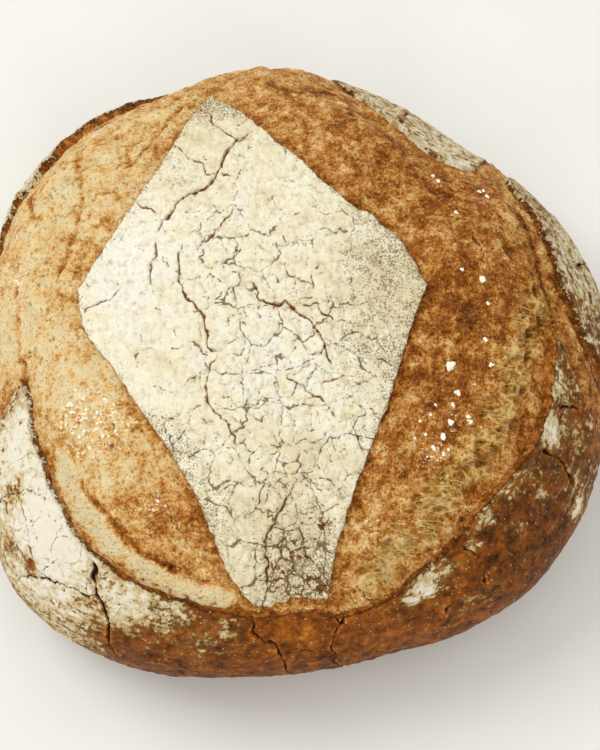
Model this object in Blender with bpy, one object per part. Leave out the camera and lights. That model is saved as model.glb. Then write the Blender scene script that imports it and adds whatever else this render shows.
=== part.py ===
"""A round rye loaf, scored with four cuts that burst open in the oven.

Metres, +Z up. The origin is the middle of the loaf's box, on the table.
The crust is one skin: a place on it is given by its bearing and by its distance
from the crown along the crust, as if the skin were peeled off and laid flat.
Routes of cuts and cracks are drawn on that flat skin, in millimetres.
"""

import bmesh
import bpy
import numpy as np
from mathutils import Vector, noise

MM = 0.001

# The loaf's own sizes
LOAF_HEIGHT = 0.103
WIDEST_RADIUS = 0.1335
WIDEST_AT = 0.036
UNDERSIDE_DEPTH = 0.043
CROWN_FULLNESS = 2.25
UNDERSIDE_FULLNESS = 2.6
CROWN_OFFSET = (-0.008, 0.006)
FOOTPRINT_OFFSET = (-0.0003, -0.0101)
# Lobes of the outline: how many go round, their swell as a share, and one crest's bearing
OUTLINE_LOBES = ((1, 0.058, 131), (3, 0.043, -9), (4, 0.026, 44), (5, 0.015, 9), (6, 0.014, 27))

# The lid: the kite of floured skin that the four cuts left in the middle
LID_SIDES = (
    ((-85, 15), (-76, 24), (-57, 48), (-45, 76), (-38, 98)),
    ((-32, 107), (-22, 99), (-9, 84), (24, 51), (37, 43), (49, 29)),
    ((58, 12), (51, -10), (41, -42), (27, -82), (19, -106)),
    ((16, -122), (2, -120), (-13, -122), (-24, -107), (-31, -81), (-42, -54), (-62, -26), (-81, -5)),
)
LID_RISE = 1.8
LID_EDGE = 1.1

# The side crust's upper edge, once round the loaf from the front left: x, y and how far
# the torn skin is lifted there. Between the lifted ears it runs down the side and back
# up, because the cuts run out over the shoulder.
FRONT_LEFT_EAR = (
    (-113, -20, 1.2), (-100, -41, 3.0), (-89, -60, 3.2), (-77, -82, 3.2),
    (-61, -101, 3.0), (-40, -115, 2.4), (-20, -124, 1.2),
)
FRONT_TEAR = ((-8, -127, 0.2), (6, -127, 0.2), (19, -130, 0.4))
FRONT_RIGHT_EAR = (
    (30, -127, 1.6), (46, -117, 2.8), (63, -100, 3.6), (80, -75, 4.2),
    (97, -52, 4.4), (107, -33, 4.2), (110, -15, 3.6), (113, -2, 2.2),
)
RIGHT_RUN_OUT = ((121, -14, 1.2), (133, -30, 1.0), (158, -38, 0.6), (182, -32, 0.3), (160, -14, 0.8))
RIGHT_EAR = ((133, 2, 1.8), (121, 14, 2.5), (113, 32, 2.8), (107, 58, 2.5), (97, 84, 1.2))
BACK_RIGHT_RUN_OUT = ((106, 98, 0.5), (112, 120, 0.3), (92, 104, 0.5))
BACK_RIGHT_EAR = ((80, 82, 1.2), (64, 85, 1.6), (48, 99, 1.8), (34, 113, 1.6), (21, 127, 1.0))
BACK_RUN_OUT = ((14, 152, 0.5), (-8, 176, 0.3), (-38, 162, 0.5))
BACK_LEFT_EAR = ((-64, 125, 2.2), (-79, 107, 3.2), (-96, 87, 3.4), (-114, 76, 3.2), (-134, 62, 1.8))
LEFT_RUN_OUT = ((-158, 44, 0.6), (-182, 10, 0.3), (-164, -26, 0.5), (-131, -36, 0.9))
SIDE_EDGE = (
    FRONT_LEFT_EAR + FRONT_TEAR + FRONT_RIGHT_EAR + RIGHT_RUN_OUT + RIGHT_EAR + BACK_RIGHT_RUN_OUT
    + BACK_RIGHT_EAR + BACK_RUN_OUT + BACK_LEFT_EAR + LEFT_RUN_OUT
)
SIDE_RISE = 0.8
EAR_FADE = 11.0
EAR_FACE_LEAST = 1.2
EAR_FACE_PER_LIFT = 0.75

# The burst dough between lid and side crust
BURST_SWELL = 2.6
BURST_REACH = 11.0
VALLEY_DEPTH = 1.5
VALLEY_FROM_EAR = 7.0
VALLEY_HALF_WIDTH = 5.0
FULL_VALLEY_LIFT = 3.0

# Cracks that are wide enough to show from a step away: half width, depth and route
CRACKS = (
    (1.1, 1.7, ((-15, 81), (-25, 61), (-39, 47), (-48, 32), (-51, 9))),
    (0.9, 1.3, ((-38, 25), (-31, -1), (-23, -21), (-26, -40), (-16, -58))),
    (0.9, 1.3, ((-12, 9), (-3, 2), (8, -3), (16, -13), (21, -26))),
    (1.1, 1.8, ((7, -71), (-8, -94), (-9, -110), (-13, -125))),
    (1.3, 2.2, ((-73, -89), (-76, -104), (-78, -120), (-84, -140))),
    (1.0, 1.5, ((-91, -63), (-102, -62), (-120, -64))),
    (1.3, 2.4, ((-17, -127), (-14, -137), (-7, -151), (-4, -170))),
    (1.2, 2.0, ((24, -130), (18, -142), (20, -153), (27, -170))),
    (1.2, 2.0, ((101, -50), (115, -53), (125, -64), (129, -80))),
    (1.1, 1.6, ((107, -32), (118, -30), (131, -36))),
    (1.2, 2.0, ((-79, 107), (-98, 112), (-112, 128))),
    (1.2, 2.0, ((48, 99), (52, 122), (64, 143))),
)

# Lumps of the crust: wavelength, height, and how much of it the smooth side crust keeps
LUMPS = ((34.0, 1.7, 1.0), (13.0, 0.8, 0.45), (6.5, 0.55, 0.15))
LUMPS_BLEND = 3.0
# Relief dies away this far above the table
RELIEF_FADE = 12.0
# Torn flaps that stand up where the back cut runs out: place, radius, height
FLAPS = (((-15, 128), 4.5, 3.2), ((2, 128), 5.0, 2.8))

# The mesh: the finished solid keeps this many triangles, most of them at the edges
BALL_SUBDIVISIONS = 8
SOLID_TRIANGLES = 11400

CRUST_COLOUR = (0.36, 0.17, 0.065, 1.0)
CRUST_ROUGHNESS = 0.75


def ease(share):
    """A smooth step from 0 to 1 as share goes from 0 to 1."""
    share = np.clip(share, 0.0, 1.0)
    return share * share * (3.0 - 2.0 * share)


def rounded_route(points, closed=False, per_span=6):
    """A Catmull-Rom curve through the points, whatever each point carries after x and y."""
    knots = np.array(points, float)
    if closed:
        knots = np.vstack([knots[-1:], knots, knots[:2]])
    else:
        knots = np.vstack([2 * knots[0] - knots[1], knots, 2 * knots[-1] - knots[-2]])
    share = np.linspace(0.0, 1.0, per_span, endpoint=False)[:, None]
    spans = []
    for before, start, end, after in zip(knots, knots[1:], knots[2:], knots[3:]):
        bend = 2 * before - 5 * start + 4 * end - after
        twist = 3 * (start - end) + after - before
        spans.append(0.5 * (2 * start + (end - before) * share + bend * share**2 + twist * share**3))
    if not closed:
        spans.append(knots[-2:-1])
    return np.vstack(spans)


def nearest_on(route, places):
    """Distance from each place to the route, and the route's third value at the nearest point."""
    best = np.full(len(places), np.inf)
    carried = np.zeros(len(places))
    for start, end in zip(route, route[1:]):
        along = end[:2] - start[:2]
        share = np.clip((places - start[:2]) @ along / max(along @ along, 1e-9), 0.0, 1.0)
        gap = np.hypot(*(places - start[:2] - share[:, None] * along).T)
        nearer = gap < best
        best[nearer] = gap[nearer]
        if len(start) > 2:
            carried[nearer] = (start[2] + share * (end[2] - start[2]))[nearer]
    return best, carried


def inside(outline, places):
    """Which places lie inside the closed outline."""
    odd = np.zeros(len(places), bool)
    for (x0, y0), (x1, y1) in zip(outline[:, :2], outline[1:, :2]):
        crosses = (y0 > places[:, 1]) != (y1 > places[:, 1])
        at = x0 + (places[:, 1] - y0) / (y1 - y0 if y1 != y0 else 1e-9) * (x1 - x0)
        odd ^= crosses & (places[:, 0] < at)
    return odd


def closed_loop(points):
    return np.vstack([points, points[:1]])


def meridian():
    """Distance along the crust from the crown, with the radius as a share and the height there."""
    turn = np.linspace(0.0, np.pi / 2, 300)
    upper = np.sin(turn) ** (2 / CROWN_FULLNESS)
    upper_z = WIDEST_AT + (LOAF_HEIGHT - WIDEST_AT) * np.cos(turn) ** (2 / CROWN_FULLNESS)
    under = np.sin(turn[::-1]) ** (2 / UNDERSIDE_FULLNESS)
    under_z = WIDEST_AT - UNDERSIDE_DEPTH * np.cos(turn[::-1]) ** (2 / UNDERSIDE_FULLNESS)
    lifted = under_z > 0.0
    flat = np.linspace(under[lifted][-1], 0.0, 60)
    radius = np.concatenate([upper, under[lifted][1:], flat[1:]])
    height = np.concatenate([upper_z, under_z[lifted][1:], np.zeros(len(flat) - 1)])
    steps = np.hypot(np.diff(radius) * WIDEST_RADIUS, np.diff(height))
    travelled = np.concatenate([[0.0], np.cumsum(steps)])
    return travelled, radius, height, travelled[len(upper) - 1], travelled[-len(flat)]


TRAVELLED, RADIUS_SHARE, HEIGHT_AT, TO_WIDEST, TO_TABLE = meridian()


def plain_form(skin):
    """Where each place on the flat skin, in metres, lies on the loaf before any relief."""
    travelled = np.hypot(skin[:, 0], skin[:, 1])
    bearing = np.arctan2(skin[:, 1], skin[:, 0])
    share = np.interp(travelled, TRAVELLED, RADIUS_SHARE)
    above = travelled < TO_WIDEST
    swell = sum(size * np.cos(count * (bearing - np.radians(crest))) for count, size, crest in OUTLINE_LOBES)
    lobed = np.where(above, share**2 * (3.0 - 2.0 * share), 1.0)
    radius = WIDEST_RADIUS * (1.0 + lobed * swell) * share
    crowned = np.where(above, 1.0 - share**2, 0.0)
    return np.stack([
        radius * np.cos(bearing) + CROWN_OFFSET[0] * crowned + FOOTPRINT_OFFSET[0],
        radius * np.sin(bearing) + CROWN_OFFSET[1] * crowned + FOOTPRINT_OFFSET[1],
        np.interp(travelled, TRAVELLED, HEIGHT_AT),
    ], axis=1)


def outward(skin):
    """The direction straight out of the plain form at each place."""
    step = 0.4 * MM
    across = plain_form(skin + [step, 0.0]) - plain_form(skin - [step, 0.0])
    along = plain_form(skin + [0.0, step]) - plain_form(skin - [0.0, step])
    normal = np.cross(across, along)
    return normal / np.maximum(np.linalg.norm(normal, axis=1, keepdims=True), 1e-12)


def lumps(places, points):
    """Uneven swells of the crust, in millimetres, with the smaller ones held back on the side."""
    _, side = edges(places)
    burst = ease(-side / LUMPS_BLEND)
    total = np.zeros(len(points))
    for wavelength, height, kept in LUMPS:
        scale = 1.0 / (wavelength * MM)
        wave = np.array([noise.noise(Vector(point) * scale) for point in points])
        total += height * wave * (kept + (1.0 - kept) * burst)
    return total


LID_OUTLINE = closed_loop(np.vstack([
    rounded_route(side + (LID_SIDES[(number + 1) % len(LID_SIDES)][0],))[:-1]
    for number, side in enumerate(LID_SIDES)
]))
EDGE_OUTLINE = closed_loop(rounded_route(SIDE_EDGE, closed=True))


def edges(places):
    """Millimetres inside the lid's edge, and millimetres outside the side crust's edge."""
    to_lid, _ = nearest_on(LID_OUTLINE, places)
    to_side, _ = nearest_on(EDGE_OUTLINE, places)
    return (
        np.where(inside(LID_OUTLINE, places), to_lid, -to_lid),
        np.where(inside(EDGE_OUTLINE, places), -to_side, to_side),
    )


def relief(places):
    """How far the crust stands out of the plain form, in millimetres."""
    lid, side = edges(places)
    _, lift = nearest_on(EDGE_OUTLINE, places)
    face = EAR_FACE_LEAST + EAR_FACE_PER_LIFT * lift
    raised = SIDE_RISE + lift * np.exp(-np.maximum(side, 0.0) / EAR_FADE)
    side_crust = raised * ease(1.0 + side / face)
    lid_crust = LID_RISE * ease(1.0 + lid / LID_EDGE)
    open_from_lid = 1.0 - np.exp(np.minimum(lid, 0.0) / BURST_REACH)
    open_from_side = 1.0 - np.exp(np.minimum(side, 0.0) / BURST_REACH)
    swell = BURST_SWELL * open_from_lid * open_from_side
    off_valley = (-side - VALLEY_FROM_EAR) / VALLEY_HALF_WIDTH
    valley = VALLEY_DEPTH * np.exp(-off_valley**2) * ease(lift / FULL_VALLEY_LIFT) * (lid < 0)
    total = np.maximum(side_crust, lid_crust) + swell - valley
    for place, radius, height in FLAPS:
        away = np.hypot(*(places - place).T) / radius
        total += height * np.exp(-away**4)
    for half_width, depth, route in CRACKS:
        gap, _ = nearest_on(rounded_route(route), places)
        total -= depth * np.exp(-(gap / half_width) ** 2)
    return total


def loaf_points(directions):
    """The finished crust under each direction of a unit ball: its top is the crown."""
    travelled = np.arccos(np.clip(directions[:, 2], -1.0, 1.0)) / np.pi * TRAVELLED[-1]
    flat = directions[:, :2] / np.maximum(np.hypot(*directions[:, :2].T), 1e-9)[:, None]
    skin = flat * travelled[:, None]
    points = plain_form(skin)
    near = travelled < TO_TABLE
    places = skin[near] / MM
    standing_out = relief(places) + lumps(places, points[near])
    fade = ease((TO_TABLE - travelled[near]) / (RELIEF_FADE * MM))
    points[near] += outward(skin[near]) * (standing_out * fade * MM)[:, None]
    points[:, 2] = np.maximum(points[:, 2], 0.0)
    return points


def crust_material():
    material = bpy.data.materials.new("crust")
    material.use_nodes = True
    surface = material.node_tree.nodes["Principled BSDF"]
    surface.inputs["Base Color"].default_value = CRUST_COLOUR
    surface.inputs["Roughness"].default_value = CRUST_ROUGHNESS
    surface.inputs["Metallic"].default_value = 0.0
    return material


def clear_scene():
    for thing in list(bpy.data.objects):
        bpy.data.objects.remove(thing, do_unlink=True)


def build_loaf(collection):
    """A fine ball is pulled into the loaf's form, then thinned so that its edges keep their detail."""
    ball = bmesh.new()
    bmesh.ops.create_icosphere(ball, subdivisions=BALL_SUBDIVISIONS, radius=1.0)
    directions = np.array([vertex.co for vertex in ball.verts])
    for vertex, point in zip(ball.verts, loaf_points(directions)):
        vertex.co = point
    mesh = bpy.data.meshes.new("loaf")
    ball.to_mesh(mesh)
    triangles = len(mesh.polygons)
    ball.free()
    loaf = bpy.data.objects.new("loaf", mesh)
    collection.objects.link(loaf)
    thin = loaf.modifiers.new("thin", "DECIMATE")
    thin.ratio = SOLID_TRIANGLES / triangles
    mesh.materials.append(crust_material())
    mesh.shade_smooth()
    return loaf


def main():
    clear_scene()
    collection = bpy.data.collections.new("rye_loaf")
    bpy.context.scene.collection.children.link(collection)
    build_loaf(collection)


main()
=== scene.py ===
# %% [markdown]
# # A round rye loaf, scored with four cuts
# The loaf is one solid thing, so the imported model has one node. What makes it look baked is
# on the outside: a floured kite of skin, dough that burst open round it, and side crust with
# torn edges. Each of these is made here as its own closed piece of fine mesh, and together
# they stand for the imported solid.

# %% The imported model
import math

import bmesh
import bpy
import numpy as np
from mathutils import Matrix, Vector, noise


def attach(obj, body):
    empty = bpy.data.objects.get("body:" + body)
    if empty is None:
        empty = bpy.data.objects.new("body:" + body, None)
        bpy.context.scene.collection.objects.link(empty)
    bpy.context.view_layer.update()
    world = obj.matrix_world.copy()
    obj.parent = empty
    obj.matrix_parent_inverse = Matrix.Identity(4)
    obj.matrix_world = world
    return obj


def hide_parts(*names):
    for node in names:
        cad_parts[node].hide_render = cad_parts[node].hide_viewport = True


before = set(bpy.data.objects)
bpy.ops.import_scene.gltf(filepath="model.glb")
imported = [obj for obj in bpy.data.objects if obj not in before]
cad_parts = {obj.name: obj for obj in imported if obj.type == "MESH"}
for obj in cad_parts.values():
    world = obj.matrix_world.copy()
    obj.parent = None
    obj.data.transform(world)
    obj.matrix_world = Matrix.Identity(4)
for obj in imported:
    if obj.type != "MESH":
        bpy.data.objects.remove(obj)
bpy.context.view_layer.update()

MM = 0.001

# %% [markdown]
# ## The skin map
# A crust is a skin. If it is peeled off and laid flat, each place on it has a bearing and a
# distance from the crown, and lengths on the flat skin are nearly true lengths on the loaf.
# All that follows is drawn on that flat skin in millimetres and then wrapped onto the form.
# The form itself is a profile swept round a lobed outline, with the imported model's own values.

# %% The form of the loaf
LOAF_HEIGHT = 0.103
WIDEST_RADIUS = 0.1335
WIDEST_AT = 0.036
UNDERSIDE_DEPTH = 0.043
CROWN_FULLNESS = 2.25
UNDERSIDE_FULLNESS = 2.6
CROWN_OFFSET = (-0.008, 0.006)
FOOTPRINT_OFFSET = (-0.0003, -0.0101)
# How many lobes go round the outline, their size as a share of the radius, and a crest's bearing
OUTLINE_LOBES = ((1, 0.058, 131), (3, 0.043, -9), (4, 0.026, 44), (5, 0.015, 9), (6, 0.014, 27))


def ease(share):
    """A smooth step from 0 to 1 as share goes from 0 to 1."""
    share = np.clip(share, 0.0, 1.0)
    return share * share * (3.0 - 2.0 * share)


def meridian():
    """Distance along the crust from the crown, with the radius as a share and the height there."""
    turn = np.linspace(0.0, np.pi / 2, 300)
    upper = np.sin(turn) ** (2 / CROWN_FULLNESS)
    upper_z = WIDEST_AT + (LOAF_HEIGHT - WIDEST_AT) * np.cos(turn) ** (2 / CROWN_FULLNESS)
    under = np.sin(turn[::-1]) ** (2 / UNDERSIDE_FULLNESS)
    under_z = WIDEST_AT - UNDERSIDE_DEPTH * np.cos(turn[::-1]) ** (2 / UNDERSIDE_FULLNESS)
    lifted = under_z > 0.0
    flat = np.linspace(under[lifted][-1], 0.0, 60)
    radius = np.concatenate([upper, under[lifted][1:], flat[1:]])
    height = np.concatenate([upper_z, under_z[lifted][1:], np.zeros(len(flat) - 1)])
    steps = np.hypot(np.diff(radius) * WIDEST_RADIUS, np.diff(height))
    travelled = np.concatenate([[0.0], np.cumsum(steps)])
    return travelled, radius, height, travelled[len(upper) - 1], travelled[-len(flat)]


TRAVELLED, RADIUS_SHARE, HEIGHT_AT, TO_WIDEST, TO_TABLE = meridian()


def plain_form(places):
    """Where each place on the flat skin lies on the loaf before any relief, in metres."""
    travelled = np.hypot(*places.T) * MM
    bearing = np.arctan2(places[:, 1], places[:, 0])
    share = np.interp(travelled, TRAVELLED, RADIUS_SHARE)
    above = travelled < TO_WIDEST
    swell = sum(size * np.cos(count * (bearing - np.radians(crest))) for count, size, crest in OUTLINE_LOBES)
    lobed = np.where(above, share**2 * (3.0 - 2.0 * share), 1.0)
    radius = WIDEST_RADIUS * (1.0 + lobed * swell) * share
    crowned = np.where(above, 1.0 - share**2, 0.0)
    return np.stack([
        radius * np.cos(bearing) + CROWN_OFFSET[0] * crowned + FOOTPRINT_OFFSET[0],
        radius * np.sin(bearing) + CROWN_OFFSET[1] * crowned + FOOTPRINT_OFFSET[1],
        np.interp(travelled, TRAVELLED, HEIGHT_AT),
    ], axis=1)


def outward(places):
    """The direction straight out of the plain form at each place."""
    step = 0.4
    across = plain_form(places + [step, 0.0]) - plain_form(places - [step, 0.0])
    along = plain_form(places + [0.0, step]) - plain_form(places - [0.0, step])
    normal = np.cross(across, along)
    return normal / np.maximum(np.linalg.norm(normal, axis=1, keepdims=True), 1e-12)


print("crown to widest and to table, mm:", round(TO_WIDEST / MM, 1), round(TO_TABLE / MM, 1))

# %% [markdown]
# ## Routes on the skin
# The cuts tore the skin along curves, so each edge is a smooth curve through a few points.
# What a piece needs to know is how far it is from such a curve, on which side, and what the
# curve carries there, such as how far the torn skin is lifted.

# %% Curves and distances to them
def rounded_route(points, closed=False, per_span=6):
    """A Catmull-Rom curve through the points, whatever each point carries after x and y."""
    knots = np.array(points, float)
    if closed:
        knots = np.vstack([knots[-1:], knots, knots[:2]])
    else:
        knots = np.vstack([2 * knots[0] - knots[1], knots, 2 * knots[-1] - knots[-2]])
    share = np.linspace(0.0, 1.0, per_span, endpoint=False)[:, None]
    spans = []
    for before, start, end, after in zip(knots, knots[1:], knots[2:], knots[3:]):
        bend = 2 * before - 5 * start + 4 * end - after
        twist = 3 * (start - end) + after - before
        spans.append(0.5 * (2 * start + (end - before) * share + bend * share**2 + twist * share**3))
    if not closed:
        spans.append(knots[-2:-1])
    return np.vstack(spans)


def closed_loop(points):
    return np.vstack([points, points[:1]])


def nearest_on(route, places, reach=1e6):
    """Distance to the route, distance along it, and what it carries, for places within reach of it."""
    gap = np.full(len(places), np.inf)
    along = np.zeros(len(places))
    carried = np.zeros((len(places), route.shape[1] - 2))
    low, high = route[:, :2].min(axis=0) - reach, route[:, :2].max(axis=0) + reach
    near = np.nonzero(((places > low) & (places < high)).all(axis=1))[0]
    at, best = places[near], gap[near]
    travelled = 0.0
    for start, end in zip(route, route[1:]):
        span = end[:2] - start[:2]
        length = max(np.hypot(*span), 1e-9)
        share = np.clip((at - start[:2]) @ span / length**2, 0.0, 1.0)
        here = np.hypot(*(at - start[:2] - share[:, None] * span).T)
        nearer = here < best
        best[nearer] = here[nearer]
        along[near[nearer]] = travelled + share[nearer] * length
        carried[near[nearer]] = start[2:] + share[nearer, None] * (end[2:] - start[2:])
        travelled += length
    gap[near] = best
    return gap, along, carried


def inside(outline, places):
    """Which places lie inside the closed outline."""
    odd = np.zeros(len(places), bool)
    for (x0, y0), (x1, y1) in zip(outline[:, :2], outline[1:, :2]):
        crosses = (y0 > places[:, 1]) != (y1 > places[:, 1])
        at = x0 + (places[:, 1] - y0) / (y1 - y0 if y1 != y0 else 1e-9) * (x1 - x0)
        odd ^= crosses & (places[:, 0] < at)
    return odd


# %% [markdown]
# ## Unevenness
# Baked dough is uneven at every scale. Gradient noise gives soft lumps, and cells round
# scattered seeds give plates, bubbles and pores: the walls between cells are where flour
# skin cracks, and the seeds are where bubbles sit. Both are written out here so that they
# work on a whole mesh at once and give the same loaf on each run.

# %% Noise and cells on the flat skin
def hashed(corner, seed):
    """A repeatable number from 0 to 1 for each whole-numbered corner."""
    x, y = corner[..., 0].astype(np.int64), corner[..., 1].astype(np.int64)
    mixed = (x * 374761393 + y * 668265263 + seed * 1442695041) & 0xFFFFFFFF
    mixed = ((mixed ^ (mixed >> 13)) * 1274126177) & 0xFFFFFFFF
    return ((mixed ^ (mixed >> 16)) & 0xFFFFFF) / 0xFFFFFF


def ripple(places, wavelength, seed):
    """Gradient noise on the flat skin, from about -1 to 1."""
    at = places / wavelength
    home = np.floor(at)
    within = at - home
    fade = within**3 * (within * (within * 6 - 15) + 10)
    total = np.zeros(len(places))
    for step_x in (0, 1):
        for step_y in (0, 1):
            turn = hashed(home + [step_x, step_y], seed) * 2 * np.pi
            slope = np.cos(turn) * (within[:, 0] - step_x) + np.sin(turn) * (within[:, 1] - step_y)
            weight = np.abs(1 - step_x - fade[:, 0]) * np.abs(1 - step_y - fade[:, 1])
            total += weight * slope
    return 1.5 * total


def shaken(places, shift, wavelength, seed):
    """The places pushed about, so that what is drawn on them wobbles."""
    return places + shift * np.stack([
        ripple(places, wavelength, seed), ripple(places, wavelength, seed + 1)
    ], axis=1)


def cells(places, size, seed):
    """For each place: distance to its cell's seed, to the cell's wall, and the cell's own number."""
    at = places / size
    home = np.floor(at)
    offsets, marks = [], []
    for step_x in (-1, 0, 1):
        for step_y in (-1, 0, 1):
            corner = home + [step_x, step_y]
            jitter = np.stack([hashed(corner, seed), hashed(corner, seed + 1)], axis=1)
            offsets.append(corner + 0.1 + 0.8 * jitter - at)
            marks.append(hashed(corner, seed + 2))
    offsets, marks = np.array(offsets), np.array(marks)
    gaps = np.linalg.norm(offsets, axis=2)
    first = gaps.argmin(axis=0)
    rows = np.arange(len(places))
    nearest = offsets[first, rows]
    apart = np.linalg.norm(offsets - nearest, axis=2)
    walls = (gaps**2 - gaps[first, rows] ** 2) / (2 * np.maximum(apart, 1e-6))
    walls[apart < 1e-6] = np.inf
    return gaps[first, rows] * size, walls.min(axis=0) * size, marks[first, rows]


def dabbed(places, start, dabs):
    """A value painted on the skin in soft dabs: x, y, radius and the value that each brings."""
    value = np.full(len(places), float(start))
    for x, y, radius, brings in dabs:
        value += (brings - value) * np.exp(-((places - [x, y]) ** 2).sum(axis=1) / radius**2)
    return value


# %% The lid's outline and the side crust's edge
# The kite's sides, each from its corner on: back left, back right, front right and front left
LID_SIDES = (
    ((-85, 15), (-76, 24), (-57, 48), (-45, 76), (-38, 98)),
    ((-32, 107), (-22, 99), (-9, 84), (24, 51), (37, 43), (49, 29)),
    ((58, 12), (51, -10), (41, -42), (27, -82), (19, -106)),
    ((16, -122), (2, -120), (-13, -122), (-24, -107), (-31, -81), (-42, -54), (-62, -26), (-81, -5)),
)
# Each point: x, y, how far the torn skin is lifted there, and how wide its torn lip is
SIDE_EDGE = (
    (-113, -20, 1.2, 0.5), (-100, -41, 3.0, 0.6), (-89, -60, 3.2, 0.7), (-77, -82, 3.2, 0.8),
    (-61, -101, 3.0, 0.8), (-40, -115, 2.4, 1.0), (-20, -124, 1.2, 1.8),
    (-8, -127, 0.2, 3.0), (6, -127, 0.2, 3.0), (19, -130, 0.4, 2.6),
    (30, -127, 1.6, 1.0), (46, -117, 2.8, 0.8), (63, -100, 3.6, 0.8), (80, -75, 4.2, 1.0),
    (97, -52, 4.4, 1.5), (107, -33, 4.2, 2.2), (110, -15, 3.6, 3.2), (113, -2, 2.2, 3.0),
    (121, -14, 1.2, 0.9), (133, -30, 1.0, 0.8), (158, -38, 0.6, 1.0), (182, -32, 0.3, 1.0),
    (160, -14, 0.8, 1.0), (133, 2, 1.8, 0.6), (121, 14, 2.5, 0.6), (113, 32, 2.8, 0.6),
    (107, 58, 2.5, 0.6), (97, 84, 1.2, 0.6), (106, 98, 0.5, 0.8), (112, 120, 0.3, 0.8),
    (92, 104, 0.5, 0.8), (80, 82, 1.2, 0.5), (64, 85, 1.6, 0.5), (48, 99, 1.8, 0.5),
    (34, 113, 1.6, 0.6), (21, 127, 1.0, 1.0), (14, 152, 0.5, 1.2), (-8, 176, 0.3, 1.2),
    (-38, 162, 0.5, 1.2), (-65, 126, 2.2, 1.0), (-81, 109, 3.2, 1.1), (-98, 89, 3.4, 1.1),
    (-116, 78, 3.2, 1.1), (-136, 63, 1.8, 1.0), (-158, 44, 0.6, 1.0), (-182, 10, 0.3, 1.0),
    (-164, -26, 0.5, 1.4), (-131, -36, 0.9, 1.2),
)
# Each side's route ends at the corner where the next one starts
NEXT_SIDES = LID_SIDES[1:] + LID_SIDES[:1]
LID_CORNER_ROUTES = [rounded_route(side + after[:1]) for side, after in zip(LID_SIDES, NEXT_SIDES)]
LID_OUTLINE = closed_loop(np.vstack([route[:-1] for route in LID_CORNER_ROUTES]))
EDGE_OUTLINE = closed_loop(rounded_route(SIDE_EDGE, closed=True))


def edges(places):
    """Millimetres inside the lid's edge, millimetres outside the side crust's edge, its lift and its lip."""
    to_lid, _, _ = nearest_on(LID_OUTLINE, places)
    torn = shaken(shaken(places, 0.6, 8.0, 11), 0.45, 2.3, 13)
    to_side, _, carried = nearest_on(EDGE_OUTLINE, torn)
    lid = np.where(inside(LID_OUTLINE, places), to_lid, -to_lid)
    side = np.where(inside(EDGE_OUTLINE, torn), -to_side, to_side)
    return lid, side, carried[:, 0], carried[:, 1]


print("lid outline and side edge, mm:", *(
    round(float(np.hypot(*np.diff(line[:, :2], axis=0).T).sum())) for line in (LID_OUTLINE, EDGE_OUTLINE)
))

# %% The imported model's lumps
# Wavelength, height, and how much of it the side crust keeps
LUMPS = ((34.0, 1.7, 1.0), (13.0, 0.8, 0.45), (6.5, 0.55, 0.15))
LUMPS_BLEND = 3.0


def lumps(points, side):
    """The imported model's uneven swells, in millimetres."""
    burst = ease(-side / LUMPS_BLEND)
    total = np.zeros(len(points))
    for wavelength, height, kept in LUMPS:
        scale = 1.0 / (wavelength * MM)
        wave = np.array([noise.noise(Vector(point) * scale) for point in points])
        total += height * wave * (kept + (1.0 - kept) * burst)
    return total


# %% [markdown]
# ## Cracks
# A crack is a narrow groove along a route. Drawn straight it looks cut with a knife, so the
# skin is shaken first, its width comes and goes, and its lips are lifted a little. The same
# call tells how deep in a crack a place is, for the dark colour.

# %% Grooves along routes
CRACK_REACH = 6.0
CRACK_TIP = 3.5


def cracked(places, cracks, seed):
    """Depth cut in millimetres, and from 0 to 1 how deep in a crack and how near a lip each place is."""
    depth, inside_one, by_lip = np.zeros((3, len(places)))
    moved = shaken(shaken(places, 1.3, 6.5, seed), 0.75, 2.4, seed + 5)
    breadth = 0.8 + 0.5 * ripple(places, 6.0, seed + 9)
    for half_width, deepest, points in cracks:
        route = rounded_route(points, per_span=3)
        gap, along, _ = nearest_on(route, moved, CRACK_REACH)
        near = gap < CRACK_REACH
        total = np.hypot(*np.diff(route, axis=0).T).sum()
        taper = 0.25 + 0.75 * ease(np.minimum(along[near], total - along[near]) / CRACK_TIP)
        width = half_width * breadth[near] * (0.45 + 0.55 * taper)
        cut = np.exp(-((gap[near] / width) ** 2)) * taper
        lips = np.exp(-(((gap[near] - 2.0 * width) / width) ** 2)) * taper * (cut < 0.3)
        depth[near] = np.maximum(depth[near], deepest * cut) - 0.12 * deepest * lips
        straight = np.clip(1.0 - gap[near] / (2.5 * width), 0.0, 1.0) * (0.4 + 0.6 * taper)
        inside_one[near] = np.maximum(inside_one[near], straight)
        by_lip[near] = np.maximum(by_lip[near], lips)
    return depth, inside_one, by_lip


# %% [markdown]
# ## From flat sheet to closed piece
# Every piece starts as a flat grid in skin millimetres. Cells are halved where the finished
# piece needs detail, faces off its patch are deleted, and the sheet is wrapped onto the loaf.
# Its open edge is then extruded inwards and drawn to a point inside the loaf, so that each
# piece is a closed wedge of bread and not a paper-thin sheet.

# %% Sheets, wrapping and closing
def face_centres(sheet):
    return np.array([face.calc_center_median()[:2] for face in sheet.faces])


def unpinch(sheet):
    """Removes faces until no corner of the open edge is shared by two faces that meet only there."""
    while True:
        pinched = [
            vertex for vertex in sheet.verts if sum(edge.is_boundary for edge in vertex.link_edges) > 2
        ]
        if not pinched:
            return
        bmesh.ops.delete(sheet, geom=[vertex.link_faces[0] for vertex in pinched], context="FACES")


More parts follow.
